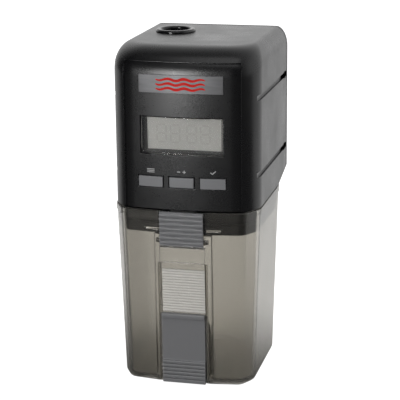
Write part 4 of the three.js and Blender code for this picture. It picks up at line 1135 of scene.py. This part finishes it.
def food_drum():
    drum = loft("smoked_drum", drum_outside())
    combine(drum, [loft("food_space", drum_inside())])
    boss_side, outlet_side, outlet = 13.2, 8.6, (4, 24.5)
    boss = track_block((-boss_side, boss_side), (-1, 5.2), (1, 72.4))
    combine(boss, [loft("outside", [drum_ring(0.05), drum_ring(80)])], "INTERSECT")
    combine(drum, [boss], "UNION")
    for x in SNAPS:
        rib = block("rib", around(x, SNAP_LENGTH), (-40, -26), SNAP_LEVEL)
        combine(rib, [drafted("wall", DRUM_WALL - 0.5, 70, 80)], "INTERSECT")
        combine(rib, [drafted("core", DRUM_WALL + 0.15, 69, 81)])
        combine(drum, [rib], "UNION")
    lip = -2
    width = (-TRACK_SIDE, TRACK_SIDE)
    cuts = [
        track_block(width, (lip, TRACK_DEPTH), (-3, TRACK_TOP)),
        track_block(width, (lip, 0.8), (TRACK_TOP - 1, 90)),
        track_block(width, (lip, 3.3), (LATCH_FOOT - 1.2, PIVOT_Z + 1.9)),
        lean(rod("socket", "X", 1.1, (PIVOT_Y, PIVOT_Z), (-TRACK_SIDE - 1.7, TRACK_SIDE + 1.7))),
        track_block((-GROOVE_SIDE, GROOVE_SIDE), (0.8, 2), (-3, TRACK_TOP)),
        track_block((-outlet_side, outlet_side), (lip, 8), outlet),
        track_block((-HOOK_SIDE - 0.6, HOOK_SIDE + 0.6), (lip, 3.6), (81.2, 90)),
    ]
    return ease_edges(combine(drum, cuts), 0.2)


smoked_plastic = clear_plastic("smoked_plastic", (0.63, 0.61, 0.565), 0.16, 0.1)
settle(food_drum(), "drum", "smoke_plastic", smoked_plastic, "food_drum")


# ---- Dosing hood ----
# A sloping roof between two cheeks, over the outlet. The food comes in below its lower edge,
# so that the weight of the food above never reaches the slide.

def dosing_hood():
    near, far, low, mouth, top, side, wall = 5.7, 15.6, 3, 10.5, 30.5, 11, 1.2
    slope = (top - mouth) / (far - near)
    drop = mouth - wall * math.hypot(1, slope)
    wedge = [(near, low), (far, low), (far, mouth), (near, top)]
    hollow = [(near - 2, low - 2), (far + 2, low - 2), (far + 2, drop - 2 * slope),
              (near - 2, drop + (far - near + 2) * slope)]
    hood = beam("dosing_hood_cover", wedge, (-side, side))
    combine(hood, [beam("hollow", hollow, (wall - side, side - wall))])
    return lean(ease_edges(hood, 0.25))


smoke_inner = moulded("smoke_inner", (0.1, 0.095, 0.085), (0.2, 0.2, 0.2), 0.4)
settle(dosing_hood(), "drum", "inner_black", smoke_inner, "dosing_hood")


# ---- Dosing scale ----
# A white plate with fine ribs across it. The slide's lip is set against the ribs, so that
# each rib is one step of the portion.

SCALE_FOOT = 34.6


def dosing_scale():
    low, high = SCALE_FOOT, 55.4
    ribs = 16
    pitch = (high - low) / ribs
    profile = [(3.1, high), (3.1, low)]
    for i in range(ribs):
        foot = low + i * pitch
        profile += [(2.35, foot), (2.3, foot + 0.2 * pitch), (2.0, foot + 0.42 * pitch),
                    (2.0, foot + 0.62 * pitch), (2.3, foot + 0.86 * pitch)]
    profile.append((2.35, high))
    return lean(ease_edges(beam("portion_scale", profile, (0.3 - TRACK_SIDE, TRACK_SIDE - 0.3)),
                           0.04, angle=50))


settle(dosing_scale(), "drum", "white_plastic", white_acetal, "dosing_scale")


# ---- Dosing slide ----
# The grey slide covers the outlet. It has a lip above, five grip ribs and a foot below, and
# runs on thin tongues in the track's side grooves.

def ridges(low, pitch, count, foot, crest, swing=0, x=0):
    """A profile of flat-topped ribs between narrow grooves, from the lowest up. With a swing,
    neighbouring grooves weave against each other along x, so that the ribs swell and narrow."""
    points = []
    for i in range(count):
        shifts = [swing * math.sin(2 * math.pi * x / 13.6 + math.pi * (i + k)) for k in (0, 1)]
        for depth, share in ((foot, 0.04), (crest, 0.24), (crest - 0.06, 0.5), (crest, 0.8),
                             (foot, 0.96)):
            shift = shifts[0] * (1 - share) + shifts[1] * share
            points.append((depth, low + pitch * (i + share) + shift))
    return points


def dosing_slide():
    side = TRACK_SIDE - 0.35
    top, lip, foot = SCALE_FOOT, 2.4, 2.2
    front = [(-0.7, 0.5), (-0.7, foot), (0.4, foot + 0.25)]
    front += ridges(foot + 0.4, 1.8, 5, 0.4, -0.5)
    front += [(0.4, top - lip), (-0.35, top - lip - 0.02), (-0.7, top - lip + 0.35),
              (-0.7, top - 0.3), (-0.4, top)]
    slide = beam("portion_slide", [*front, (1.7, top), (1.7, 0.5)], (-side, side))
    tongues = block("tongues", (0.35 - GROOVE_SIDE, GROOVE_SIDE - 0.35), (1.15, 1.7),
                    (0.8, top - 0.5))
    combine(slide, [tongues], "UNION")
    return lean(ease_edges(slide, 0.12, angle=45))


grey_abs = moulded("grey_abs", (0.185, 0.186, 0.193), (0.36, 0.36, 0.37), 0.4, grain=1800,
                   relief=0.02, wear=0.5)
settle(dosing_slide(), "dosing_slide", "grey_plastic", grey_abs, "dosing_slide")


# ---- Latch ----
# A ribbed grey flap at the top of the track, pressed by the thumb to free the drum. It turns
# on two trunnions at its lower end, and its hook reaches over the hub's collar.

def latch_flap():
    side, low, high = 10.2, LATCH_FOOT, 83.5
    pitch = (high - low - 1) / 7
    stations = [side * (i / 12 - 1) for i in range(25)]
    flap = loft("thumb_latch", [
        [(x, y, z) for y, z in ((0.5, low), (-0.3, low),
                                *ridges(low + 0.5, pitch, 7, -0.15, -0.73, 0.28, x),
                                (-0.3, high), (0.5, high))] for x in stations])
    ends = TRACK_SIDE + 1.3
    combine(flap, [
        block("knuckle", (-side, side), (0.2, PIVOT_Y), around(PIVOT_Z, 2.2)),
        rod("pivot", "X", 1.2, (PIVOT_Y, PIVOT_Z), (-side, side)),
        rod("trunnion", "X", 0.8, (PIVOT_Y, PIVOT_Z), (-ends, ends)),
        block("hook", (-HOOK_SIDE, HOOK_SIDE), (0.2, 2.9), (82, 83)),
    ], "UNION")
    return lean(ease_edges(flap, 0.1, angle=45))


settle(latch_flap(), "latch_flap", "grey_plastic", grey_abs, "latch_flap")
